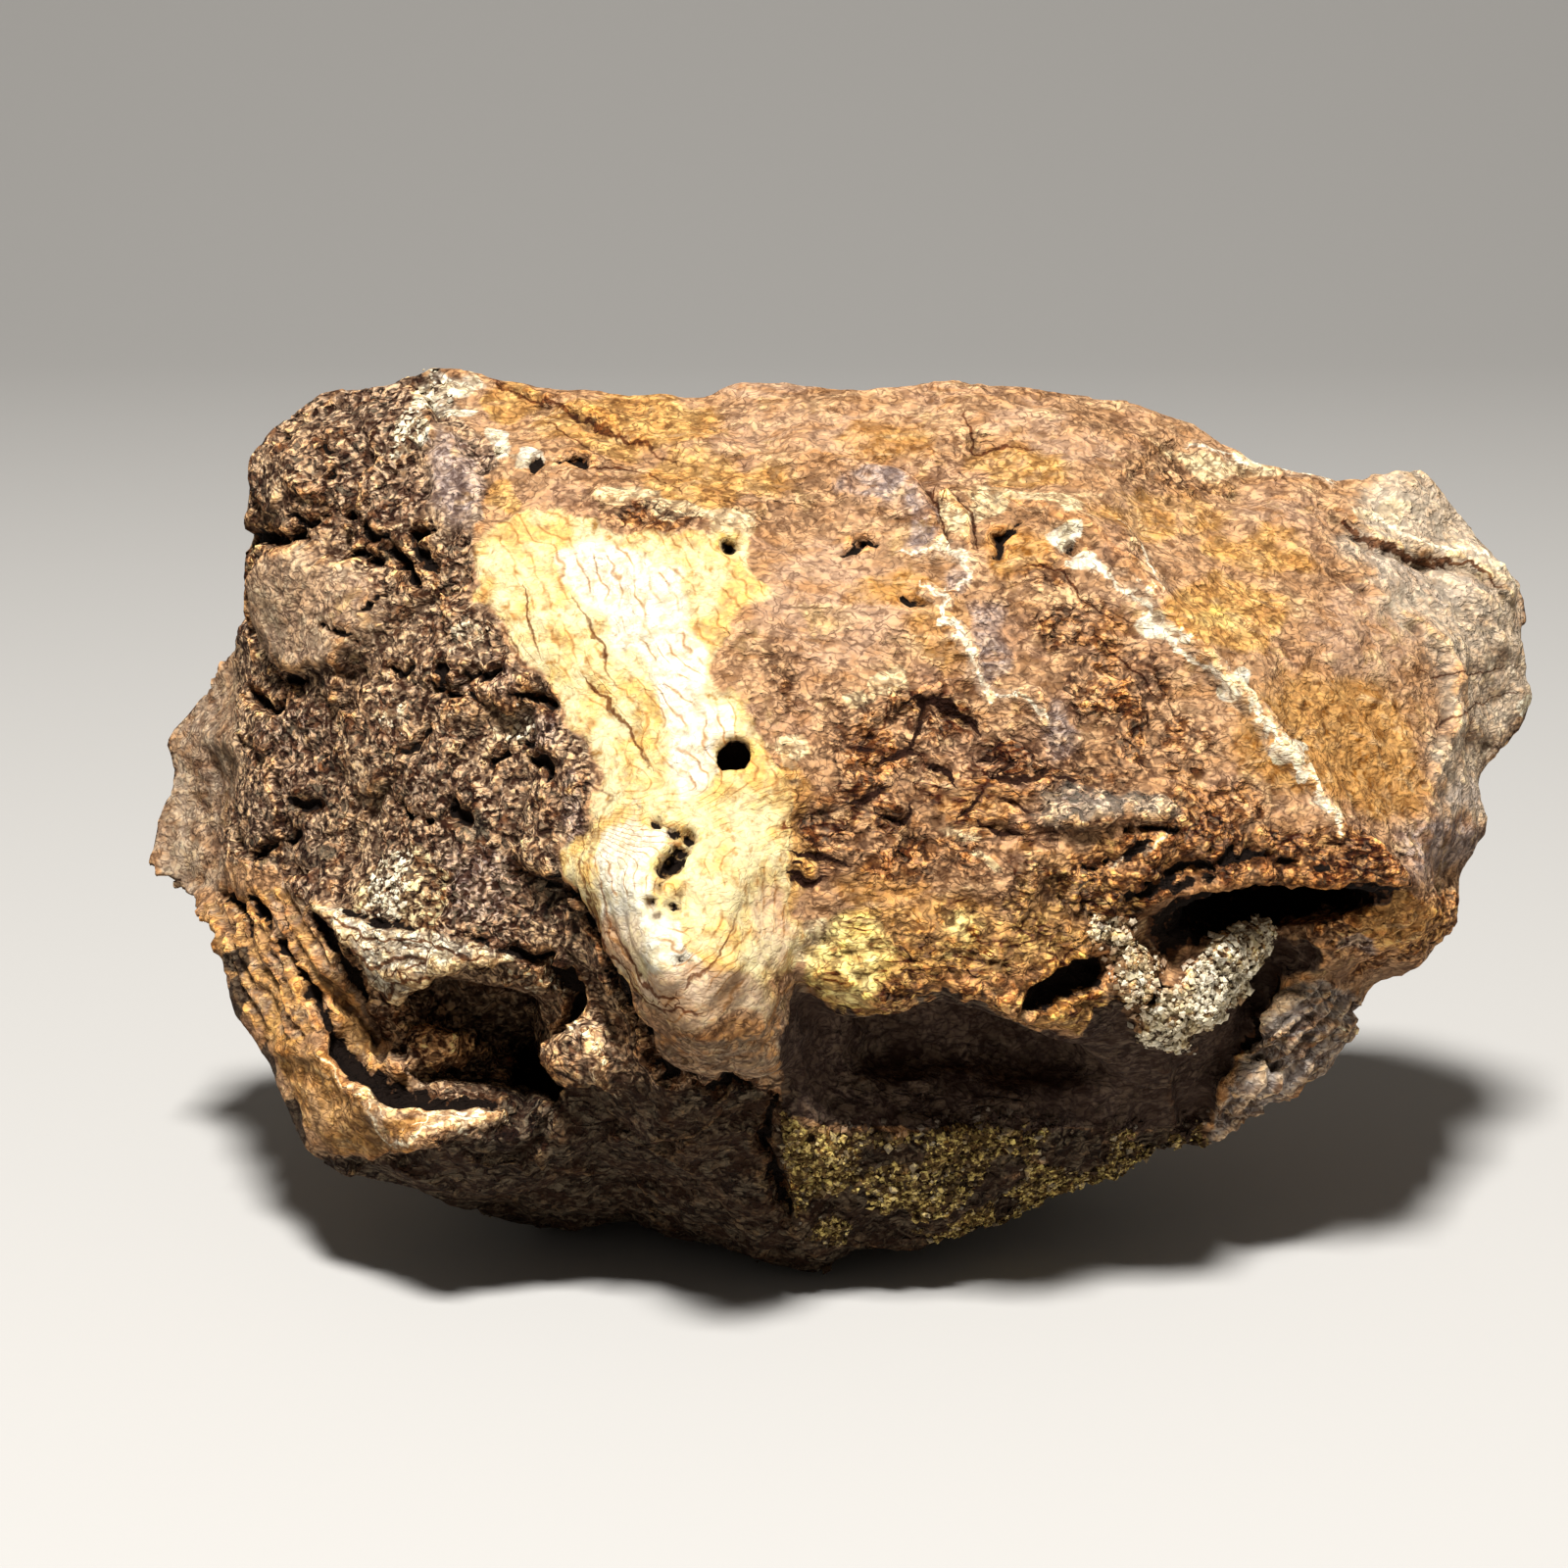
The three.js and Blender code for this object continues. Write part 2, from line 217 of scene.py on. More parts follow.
LOWER_LEFT = [
    (-40, -4), (-31, -3), (-21, -6), (-15, -10), (-12, -17), (-4, -18.5), (-4, -37),
    (-38, -32), (-37, -24), (-33, -20), (-36, -14), (-38.5, -9),
]
RIBBED_SLAB = [
    (-47.5, -7.5), (-44.5, -6.5), (-42, -5.5), (-39.5, -5.5), (-38, -7), (-36.5, -8.5),
    (-35, -11), (-34, -12.5), (-33, -14), (-32, -15.5), (-31, -17.5), (-30, -19), (-28, -20),
    (-29.5, -20), (-31.5, -19), (-33.5, -18), (-35, -16.5), (-35.5, -15), (-38.5, -16.5),
    (-42, -15.5), (-43.5, -12.5),
]
SMOOTH_LEDGE = [
    (-35.5, -17.3), (-34.5, -18.5), (-33.5, -19.5), (-32, -20.2), (-30, -20.7), (-28.5, -21.1),
    (-26, -21.2), (-23.5, -21.4), (-24, -21.8), (-26, -22.1), (-28, -22.5), (-29, -23.3),
    (-30, -23.5), (-32, -24.3), (-35.5, -24.5), (-37, -23), (-38, -22), (-38.5, -20),
    (-39.5, -18), (-41, -16.5), (-41, -14.5), (-38.5, -16), (-37, -16.5),
]
CRESCENT = [
    (-35.5, -15.5), (-34, -17), (-33, -18), (-31, -19), (-29.5, -19.6), (-28, -20),
    (-26, -20.2), (-24, -20.4), (-23.5, -20.9), (-26, -21), (-28.5, -20.9), (-30, -20.5),
    (-32, -19.9), (-33.5, -19.2), (-34.5, -18.3), (-35.5, -17.2),
]
PALE_LEAF = [
    (-37, -6.5), (-35, -6.8), (-33.5, -7.3), (-32, -7.8), (-29.5, -8), (-27.5, -8.4), (-25, -9),
    (-23.5, -9.4), (-21.6, -10), (-22.5, -10.5), (-25, -10.6), (-27, -10.8), (-28.5, -11.6),
    (-30.5, -12), (-32, -11), (-34, -9), (-36, -7.2),
]
GREY_SHELF = [
    (-36, -5.5), (-33.5, -3), (-28.5, -2), (-24, -2.5), (-23, -7), (-22, -9.5), (-27, -8.2),
    (-32, -7.5),
]
UNDER_LEAF = [
    (-36, -7.5), (-34, -9.3), (-32, -11.3), (-30.5, -12.2), (-28, -11.8), (-25, -10.9),
    (-22, -10.8), (-18.5, -13), (-18.5, -15), (-24, -13.2), (-30, -13.8), (-33, -13.5),
]
RECESS = [
    (-3, -12), (-0.5, -13.3), (4, -13.8), (7, -11.8), (10, -13.3), (13, -15), (15, -15.3),
    (16, -15.9), (17.2, -14.8), (18.6, -13.2), (19.6, -13.6), (20.3, -15), (21, -16.3),
    (23, -16.9), (24, -16.7), (25, -15.4), (26.6, -14.3), (28, -12.8), (28.7, -11.6),
    (29.5, -10), (30.3, -8.8), (34, -9.5), (34, -11), (32, -11.5), (31, -12.5), (30.2, -15),
    (29.3, -17), (27.8, -18.5), (27, -20.5), (27, -23), (25.5, -24), (22, -23), (17, -22.5),
    (7, -22), (-0.5, -22), (-4, -20.5), (-4.5, -15.5),
]
DARK_GROOVE = [
    (29.8, -9.5), (33.8, -9.8), (33.5, -11.3), (31.6, -12), (30.6, -13.5), (29.8, -15.5),
    (28.6, -17.8), (27.4, -19.5), (27.2, -22.5), (25.3, -23.3), (23.7, -20), (23.8, -17.8),
    (25.5, -16.2), (27.3, -14.6), (28.6, -12.7), (29.2, -10.8),
]
BELLY = [
    (-4, -21.5), (3, -22), (10, -21.7), (17, -22), (24, -22.8), (27.5, -22.8), (27, -24.5),
    (19.5, -28), (14, -30), (10.5, -33), (7, -34), (-1, -36), (-4, -31),
]
KEEL = [
    (-24, -20), (-20.5, -19.5), (-16, -18.5), (-11.5, -18.5), (-7.5, -18.5), (-4, -20.5),
    (-4, -25.5), (-2.5, -36), (-6.5, -35), (-15, -33), (-25, -32), (-30, -31), (-37, -29),
    (-37, -25.5), (-32, -25), (-29.5, -24), (-24, -22.5),
]
NOSE = [
    (-15, -11.5), (-13, -14), (-11, -14.5), (-8.5, -14.5), (-5.5, -13), (-3.5, -11.5),
    (-2, -12), (-0.5, -15), (-3, -17.5), (-7, -18.5), (-10.5, -18.5), (-13, -16),
]
POCKET = [
    (-34.5, -12), (-31.5, -13), (-24, -12.7), (-20, -13.5), (-17, -13.5), (-15.5, -17.5),
    (-20.5, -19.5), (-24, -20.6), (-28, -20.3), (-31, -18.5), (-32.5, -16), (-34, -13.5),
]
LEFT_HOLE = [(-23, -18), (-21.5, -17.5), (-20.3, -17.7), (-19, -19), (-20, -20), (-23.3, -19.8)]
SLOT = [
    (21, -7.5), (22.5, -6), (25, -5.1), (26.5, -5), (28.5, -5), (31, -5.4), (33.5, -5.2),
    (34.5, -5), (36, -5.4), (38.5, -5.6), (39, -6.4), (38.5, -7), (37.5, -7), (36.5, -6.6),
    (36, -7), (35, -7), (33.5, -7.4), (32, -7.5), (30.5, -8.4), (28.5, -8.3), (26.5, -8.8),
    (24, -9.4), (23, -10.3), (22, -10), (21, -8.7),
]
CAVE = [
    (12.2, -12.8), (13, -11.8), (14.5, -11), (16, -10.2), (18, -9.9), (18.2, -10.6),
    (17.5, -12), (16.5, -12.5), (15, -13), (13.5, -13.4), (12, -13.5),
]
CRUMBLY_LIP = [
    (-1.5, -8.5), (4, -7), (9.5, -6), (13, -3.5), (18.5, -4), (20, -7.5), (17, -9), (17.5, -12),
    (19, -12), (18, -15), (15.5, -16), (13, -14.8), (9.5, -13), (7, -11.5), (4, -13.5),
    (-0.5, -13),
]
GREENISH_COLUMN = [
    (17.5, -7), (18.5, -7), (19.5, -7.5), (19.5, -8.5), (20.5, -9.5), (21.5, -10), (21.8, -10.8),
    (21, -12), (20.5, -13), (19.5, -13.5), (18.5, -12), (18.5, -11), (18.5, -9), (17, -9),
    (16.5, -8),
]
PALE_LUMP = [
    (20.5, -13.5), (21.8, -12.5), (23, -12), (23.5, -11), (24.5, -10.4), (25.5, -9.6),
    (27.5, -9), (29, -8.2), (30.3, -8.5), (29.5, -10), (28.5, -11.5), (28, -12.5),
    (26.5, -14.3), (25, -15.4), (24, -16.8), (23, -17), (21, -16.4), (20.3, -15),
]
RUST_LEDGE = [
    (33.5, -7.5), (35, -7), (36, -7), (37, -6.6), (37.5, -7), (39, -6.3), (40, -5.5),
    (42, -5.5), (46, -6), (45, -9), (42, -10.5), (39, -11), (37, -11), (34.5, -10.5), (33.5, -9),
]
GREY_CHUNK = [
    (34, -12), (36, -12.8), (37, -13.3), (39.5, -14.5), (41, -16.5), (40.5, -19),
    (38.5, -21.5), (36, -23.5), (32, -25.5), (29, -27), (27, -27), (27.2, -22.8),
    (27.8, -20.5), (28.8, -18.8), (29.4, -17.3), (30, -15.6), (31, -13.8), (32, -12.3),
]
LEFT_LUG = [(-54, 15), (-44.5, 14), (-44.3, 4.5), (-45, -1), (-46, -6.3), (-54, -7)]
GREY_RIM = [
    (37, 21), (39, 23.5), (40.5, 25), (43, 26), (45.5, 24.5), (48, 22), (52, 17.5),
    (52.5, 13.5), (53, 9), (53, 5), (49, 1), (46, -1), (43, -1.5), (42.5, 2), (44, 6.5),
    (44, 10), (41.5, 13), (38, 16), (36.5, 18.5),
]
PURPLE_CORNER = [(38.5, -1.5), (42.5, -0.5), (48, -1), (47, -4.5), (42, -5.5), (39.5, -5)]
LILAC = [
    (-0.5, 24.3), (2.5, 24.4), (5, 23.3), (6.3, 22), (6.8, 20), (7.3, 18), (6, 17.5),
    (5.5, 19.5), (3.5, 20.3), (1, 21), (-0.3, 22.5),
]
GREY_WHITE = [(12.8, 7.5), (14.5, 7), (15.8, 5), (15.2, 3.5), (13.8, 3.5), (13, 5.5)]
BOULDER = [
    (7, 22), (7.6, 22.2), (8.8, 20.5), (9.3, 18.5), (9, 17.8), (8, 18.4), (7.1, 19.5), (6.9, 21),
]
GREY_ARCH = [
    (13.5, 1), (15, 1.6), (17, 1.2), (20.5, 1.2), (22.5, 0), (22, -1), (18.5, -0.8), (14.5, -1.6),
    (13, -0.5),
]
SCALY = [
    (1, 6.5), (5.5, 8), (9.5, 6.5), (16, 4.5), (17.5, 1.5), (13, -3), (9.5, -3.5),
    (3, -4), (-2.5, -4), (-3, -1), (0, 1.5),
]
BROWN_BAND = [
    (15, -2), (22.5, -1), (29.5, -1), (33.5, -1.5), (39, -3.5), (39, -5.5), (33, -4.7),
    (27, -4.5), (22.5, -5), (19.5, -7), (17, -5.5),
]
OLIVE_PLATE = [
    (-42.5, 16.5), (-40.5, 18.5), (-37.5, 19), (-35, 17.5), (-32.5, 16), (-32, 12.5),
    (-35, 10), (-39, 9.8), (-42, 12.5),
]
VIOLET_DOME = [
    (-29.3, 26), (-28.5, 27.3), (-27.5, 27), (-26, 24.5), (-24.5, 21.5), (-25, 19), (-28, 19.5),
    (-29, 23),
]
OCHRE_CHUNK = [
    (-20.5, -17.5), (-19, -16.5), (-17.5, -15.6), (-17, -14.3), (-16, -15), (-15.3, -17.5),
    (-15.3, -19), (-17, -18.5), (-18, -18.2), (-19, -19), (-20, -18.5),
]
FACE_FACET = [
    (37, 20.3), (38.5, 18.5), (42, 18), (43.5, 17.6), (46.5, 17.5), (48, 16.5), (47, 15.3),
    (44.5, 14.7), (42.5, 15.8), (39.5, 15.6), (38, 16.5),
]

# Smaller stains with soft borders: mm across and up, reach across and up, strength.
SPOTS = {
    "ochre": [
        (-23.5, 29.5, 2.2, 1.8, 1), (-23.5, 22, 1.4, 1.4, 1), (-14.5, 27.5, 7, 3, 0.9),
        (-10, 23, 5, 2.4, 0.8), (-6.5, 23, 3.4, 1.4, 0.8), (-33, 26.5, 1.8, 2, 0.8),
        (-35.5, -5, 2.4, 1.6, 0.8), (-21.5, 0, 2, 2.6, 0.6), (27, 13.3, 5, 3, 1),
        (12.5, 24, 4, 1.6, 0.7), (22.5, 20.5, 6, 2, 0.6), (29.5, 18, 5, 2, 0.7),
        (-3.2, -2, 1.6, 6, 0.9), (0.7, -10.3, 3.2, 3.2, 1.3), (45, 19.4, 6, 1, 1),
        (47.5, 11, 3, 1.8, 0.8), (40, -8, 5, 2.4, 0.55)],
    "orange": [
        (34, 5, 8, 5, 1), (7, -9, 8, 3.4, 1), (14, -9, 4, 3, 0.9), (4, 15, 3.6, 2, 0.7),
        (7, 11.5, 3, 3, 0.6), (16, -14, 3.4, 1.6, 1), (38.5, 1.5, 4, 2.4, 0.8),
        (12.5, 18, 3, 2, 0.8), (9, 0, 4, 2, 0.6), (2.5, -5, 4, 2, 0.7), (14.5, -3, 3, 1.4, 0.6),
        (3, 26.5, 4, 1.6, 0.6), (39, -7.5, 4, 2, 1)],
    "mauve": [
        (37.5, 12.5, 5, 4, 1), (32, 21.5, 4, 2, 0.7), (-0.5, 14, 6, 5, 0.9),
        (17, 25.5, 4, 1.6, 0.8), (13, 27.5, 4, 1.6, 0.8), (-2.5, 27, 5, 2.4, 0.6),
        (20.5, 13.5, 4, 3, 0.5), (-5, 30.5, 4, 1.2, 0.8), (8, 2.5, 3, 2, 0.5)],
    "brown": [
        (19, 8.5, 4, 3, 0.9), (17, 12.5, 4, 2.4, 0.7), (22, 4.5, 4, 2.6, 0.8),
        (14, 16.5, 3, 1.4, 0.7), (25, 0.5, 5, 2, 0.8), (27, -3, 10, 2, 1),
        (-12.5, 19.8, 3.4, 1.2, 0.9), (-1.5, -3, 1.6, 2, 0.6), (6, -3.5, 5, 1.6, 0.7),
        (1.5, 4, 3, 2.4, 0.6), (9.5, -12, 4, 1.6, 1), (-4, 9.5, 1.4, 3, 0.6), (19, -5, 3, 2, 0.8),
        (24, 23, 5, 1.6, 0.4)],
    "cream": [
        (30, 25.2, 6, 1.1, 1), (10.5, 21.3, 1.8, 1.4, 1), (14, 21, 2.6, 0.8, 1),
        (3, 8.6, 1.3, 1.2, 1), (1, 7, 1.4, 1, 0.9), (-14.5, 21.8, 2.6, 0.8, 0.9),
        (-10.3, 20.6, 3, 1, 1), (-7.5, 19.5, 1.6, 1.4, 0.9), (10, -3.5, 0.8, 0.5, 1),
        (8, -1.7, 2, 0.5, 0.7), (-2.8, 3.5, 1.1, 1.6, 1), (0.5, -10.5, 1.8, 2.4, 0.7),
        (-2, -8.5, 1.4, 1.6, 1), (39.5, 21.3, 3, 0.6, 0.9), (48.5, 17.6, 2.4, 0.6, 0.9),
        (-30.5, -6, 4.5, 4, 0.85)],
    "yellow": [
        (0.5, -10, 3, 3, 1.1), (8, -8, 1.6, 1, 0.6), (26, 13.5, 2, 1, 0.5)],
    "white": [
        (-29.3, 29.7, 1.6, 2, 0.9), (-27.3, 28.3, 1.8, 0.8, 1), (-30.6, 26.5, 1.2, 2, 0.8),
        (-24.3, 25.7, 1.2, 1.6, 0.8), (-22, 24.4, 1.6, 1, 0.8), (-27, 30.7, 2, 0.8, 0.6),
        (15.5, 18.7, 1.1, 1.3, 0.9), (16.9, 17, 1.3, 0.6, 0.8), (21.6, 12.6, 1.2, 0.7, 0.9),
        (26.7, 8.4, 1.5, 0.7, 1), (30.8, 4, 1.3, 0.8, 0.9), (-25.5, 11.5, 1.6, 1.6, 0.5),
        (-22.5, 5.5, 2, 1.4, 0.55), (-30.7, 6, 1, 1.4, 0.5), (51, 8, 0.7, 0.7, 1),
        (21, -18, 0.7, 0.5, 1), (18.5, -19, 0.7, 0.5, 0.8), (-31.3, -5.2, 2.4, 3.4, 0.85),
        (20, -11.3, 0.6, 0.6, 0.9), (17.7, -7.8, 0.7, 0.5, 1)],
    "violet": [
        (-25.5, -5, 3.6, 3, 0.7), (-26.5, 23.5, 2, 3.4, 0.5), (-20.5, 5, 2, 2, 0.7),
        (-18.3, 0, 1, 3.4, 0.9), (-26.5, -4.5, 3, 2.4, 0.8), (2.5, 22.7, 3.4, 1.6, 1),
        (5.8, 20, 1.2, 2.4, 0.9), (14.6, 5.3, 1.6, 2, 0.9), (10.3, 11, 1.5, 3.4, 0.8),
        (8.6, 15.5, 1.2, 1.6, 0.7), (16.5, 0.2, 3, 1, 0.7), (45, 1, 2.4, 1.2, 0.8),
        (36.5, -9.5, 0.9, 0.9, 1), (43, -2.5, 4, 1.4, 0.7), (-40, 6, 3, 2, 0.4),
        (-24, 9, 3, 2, 0.5)],
    # Dark dirt, and painted shade along the lower left edge that faces away from the light.
    "grime_and_shade": [
        (-43, -11, 1.4, 1.4, 1), (-43, -14, 1.6, 1.6, 1), (-36, -27, 4, 2.2, 1),
        (-38.8, -24, 1.4, 3, 1), (-41, -18.5, 1, 2, 0.9), (-36.5, 0.5, 2.4, 2, 0.4),
        (-26, -0.5, 2.6, 1.6, 0.5), (-28, 7.5, 2.2, 1, 0.4), (-24, 3.5, 2.4, 1.2, 0.4),
        (-39, -3, 4, 1.4, 0.6), (-31.5, 18.3, 2, 1.6, 0.4), (-19.5, -7, 2.4, 3.4, 0.5)],
    "blush": [
        (-9, -12.5, 5, 2.6, 1.1), (-14.5, -9.5, 1.6, 3, 0.8), (-4.5, -8, 1.4, 3, 0.7)],
    "rust": [
        (-45, 11, 0.9, 1.4, 1), (5.5, -11.8, 4, 1.4, 0.7)],
}

# Cracks and slits: mm across, mm up, half width, depth.
CRACKS = [
    [(-43, 20, 0.6, 2), (-41, 19.8, 0.8, 2.5), (-40, 19.5, 0.5, 2), (-38, 19.5, 0.4, 1.5)],
    [(-42.7, 19, 0.6, 2), (-42.4, 18, 0.6, 2), (-42.5, 16.5, 0.4, 1.5)],
    [(-35.2, 17.8, 0.3, 1), (-34, 18.1, 0.4, 1.5), (-32.6, 17.8, 0.3, 1)],
    [(-33.7, 20, 0.3, 1), (-33, 19.3, 0.4, 1.3), (-32, 19, 0.25, 1)],
    [(-31.7, 18.7, 0.3, 1), (-31, 17.5, 0.55, 2), (-30.1, 16.5, 0.65, 2.2), (-29.4, 15.3, 0.3, 1)],
    [(-30.2, 19.5, 0.3, 1.2), (-29.5, 19.1, 0.55, 1.6), (-28.5, 19.5, 0.3, 1)],
    [(-30, 18.5, 0.25, 1), (-29, 17.5, 0.5, 1.5), (-28.3, 17, 0.4, 1)],
    [(-31, 10, 0.35, 1), (-30.4, 9.4, 0.4, 1.2), (-29.8, 9.6, 0.3, 1)],
    [(-27.5, 9, 0.35, 1.2), (-27, 9.6, 0.35, 1)], [(-25.5, 9, 0.4, 1.2), (-24.8, 9.5, 0.35, 1)],
    [(-24, 9, 0.3, 1.2), (-23, 9.6, 0.35, 1)],
    [(-28, 8.5, 0.3, 1), (-27, 8, 0.4, 1), (-26, 7.6, 0.35, 1)],
    [(-25, 8.1, 0.25, 1), (-24.5, 7.5, 0.3, 0.8)],
    [(-22, 7.7, 0.3, 1), (-20.5, 7.5, 0.4, 1), (-19.5, 7, 0.3, 1)],
    [(-40.5, 9.5, 0.35, 1.2), (-39, 9.4, 0.5, 1.6), (-38.2, 9.7, 0.3, 1)],
    [(-42.7, 8.2, 0.6, 1.8), (-41.3, 7.4, 0.6, 1.8), (-40, 8.2, 0.35, 1)],
    [(-39.2, 21, 0.25, 1), (-38, 20.6, 0.4, 1), (-36.8, 20.7, 0.25, 1)],
    [(-21, 3.5, 0.35, 1), (-20, 3.3, 0.45, 1.2), (-19.5, 2.5, 0.3, 1)],
    [(-24, 2.8, 0.3, 1), (-24, 3.6, 0.35, 1), (-23, 4, 0.3, 0.8)],
    [(-20.8, 4.6, 0.3, 0.8), (-22, 4.6, 0.25, 0.8)],
    [(-30, 4, 0.2, 0.8), (-29, 5, 0.3, 0.8), (-28, 5.5, 0.2, 0.8)],
    [(-31, 0.6, 0.3, 1), (-30, -0.5, 0.35, 1), (-28.5, -1, 0.35, 1), (-28, -0.9, 0.2, 1)],
    [(-26.5, 0.6, 0.4, 1), (-26.3, -0.4, 0.5, 1.2), (-25.4, -0.6, 0.35, 1)],
    [(-42.5, -3, 0.4, 1.4), (-40, -2.6, 0.4, 1.4), (-38, -1.9, 0.25, 1)],
    [(-38.9, 0.6, 0.3, 1), (-37.5, 0, 0.35, 1), (-36.5, 0.4, 0.3, 1)],
    [(-33, 14, 0.25, 0.8), (-32.4, 14.6, 0.3, 0.8), (-31.5, 15, 0.2, 0.8)],
    [(-35.6, 13, 0.25, 0.8), (-34.5, 12.5, 0.3, 0.8), (-33.5, 11.8, 0.25, 0.8)],
    [(-37, 26.5, 0.3, 0.8), (-36.4, 25.9, 0.3, 0.8)],
    [(-36.4, 24, 0.3, 0.8), (-36, 24.5, 0.3, 0.8)], [(-40.6, 27, 0.35, 1), (-39.9, 26.7, 0.35, 1)],
    [(-35, 20.5, 0.35, 1), (-35, 21.1, 0.35, 1)],
    [(-22.5, -4.5, 0.2, 0.8), (-20, -4.9, 0.3, 1.2), (-18.5, -5.6, 0.35, 1.4),
     (-17.4, -7, 0.3, 1.2)],
    [(-34, -7.4, 0.25, 0.6), (-32, -7.7, 0.35, 0.8), (-29.5, -8.1, 0.2, 0.6)],
    [(-25, -8.9, 0.15, 0.6), (-22, -9.8, 0.35, 1.4), (-20.5, -10.5, 0.7, 2),
     (-19, -11.7, 0.75, 2.2), (-18, -13, 0.7, 2), (-17.7, -14.5, 0.6, 2), (-18.5, -15.6, 0.8, 2)],
    [(-37, -7.5, 0.5, 1.2), (-35.5, -9, 0.6, 1.5), (-34.3, -11.5, 0.6, 1.5),
     (-33.3, -13, 0.5, 1.5)],
    [(-45, -6.5, 0.4, 1.2), (-43.5, -7, 0.5, 1.4), (-42, -9, 0.3, 1)],
    [(-43, -6, 0.3, 1), (-41.5, -7, 0.5, 1.4), (-40.4, -8.6, 0.35, 1)],
    [(-39.5, -9.5, 0.25, 1), (-37.8, -11.7, 0.35, 1), (-36.6, -13.8, 0.35, 1),
     (-35.6, -15.2, 0.3, 1)],
    [(-17.8, -5.5, 0.3, 1), (-17.3, -8, 0.5, 1.6), (-15.9, -11, 0.65, 2), (-14.3, -13.5, 0.6, 2),
     (-13, -16, 0.6, 2), (-11, -18, 0.4, 1.6)],
    [(-11, -18.2, 0.3, 1.2), (-9, -18.7, 0.3, 1), (-7.5, -18.3, 0.5, 1.6), (-6, -19, 0.3, 1)],
    [(-4.5, -19.5, 0.3, 1), (-5, -23, 0.4, 1.2), (-4, -25.5, 0.5, 1.4), (-3.5, -28.5, 0.4, 1.2)],
    [(0.4, 17.6, 0.2, 0.6), (1, 18, 0.35, 1.2), (1.8, 18.6, 0.45, 1.4), (2.6, 18.2, 0.2, 0.7)],
    [(4.5, 14.4, 0.15, 0.5), (5.2, 13.9, 0.3, 0.9), (6.2, 13.8, 0.15, 0.6)],
    [(12.5, 20, 0.15, 0.6), (11.5, 19, 0.4, 1.4), (11, 18, 0.45, 1.5), (10.5, 17, 0.25, 0.9)],
    [(19, -6, 0.2, 0.6), (20.5, -5.5, 0.3, 0.8), (22, -4.9, 0.3, 0.8), (24.8, -4.4, 0.2, 0.6)],
    [(19, -5, 0.2, 0.6), (21, -4.8, 0.3, 0.9), (22.5, -4, 0.35, 1), (25.5, -3.4, 0.3, 0.8),
     (29, -3, 0.2, 0.5)],
    [(24.5, -2.4, 0.2, 0.6), (26.5, -2.6, 0.3, 0.8), (28.5, -2.5, 0.2, 0.6)],
    [(16.5, -4, 0.2, 0.6), (18, -3.4, 0.3, 0.8), (19.5, -3, 0.3, 0.7), (21, -2, 0.2, 0.5)],
    [(29.5, -3.5, 0.2, 0.6), (31.5, -3.6, 0.25, 0.7), (33.7, -4, 0.2, 0.5)],
    [(19, -1.2, 0.3, 0.8), (20.5, -1.3, 0.35, 1), (22.3, -1.6, 0.25, 0.7)],
    [(-19.7, 24.5, 0.25, 0.8), (-18.7, 25, 0.5, 1.5), (-18, 24.6, 0.45, 1.4),
     (-17.5, 23.4, 0.25, 0.8)],
    [(-21.5, 24, 0.25, 0.7), (-20.9, 24.4, 0.25, 0.7)],
    [(21.2, -10.8, 0.3, 1), (22, -12, 0.4, 1.2), (21, -13, 0.3, 1)],
    [(36.7, -14, 0.4, 1.2), (38, -14.8, 0.5, 1.6), (38, -15.9, 0.4, 1.2)],
    [(31, -12.8, 0.4, 1.2), (30.2, -15, 0.4, 1.2), (29.3, -17, 0.5, 1.4)],
]

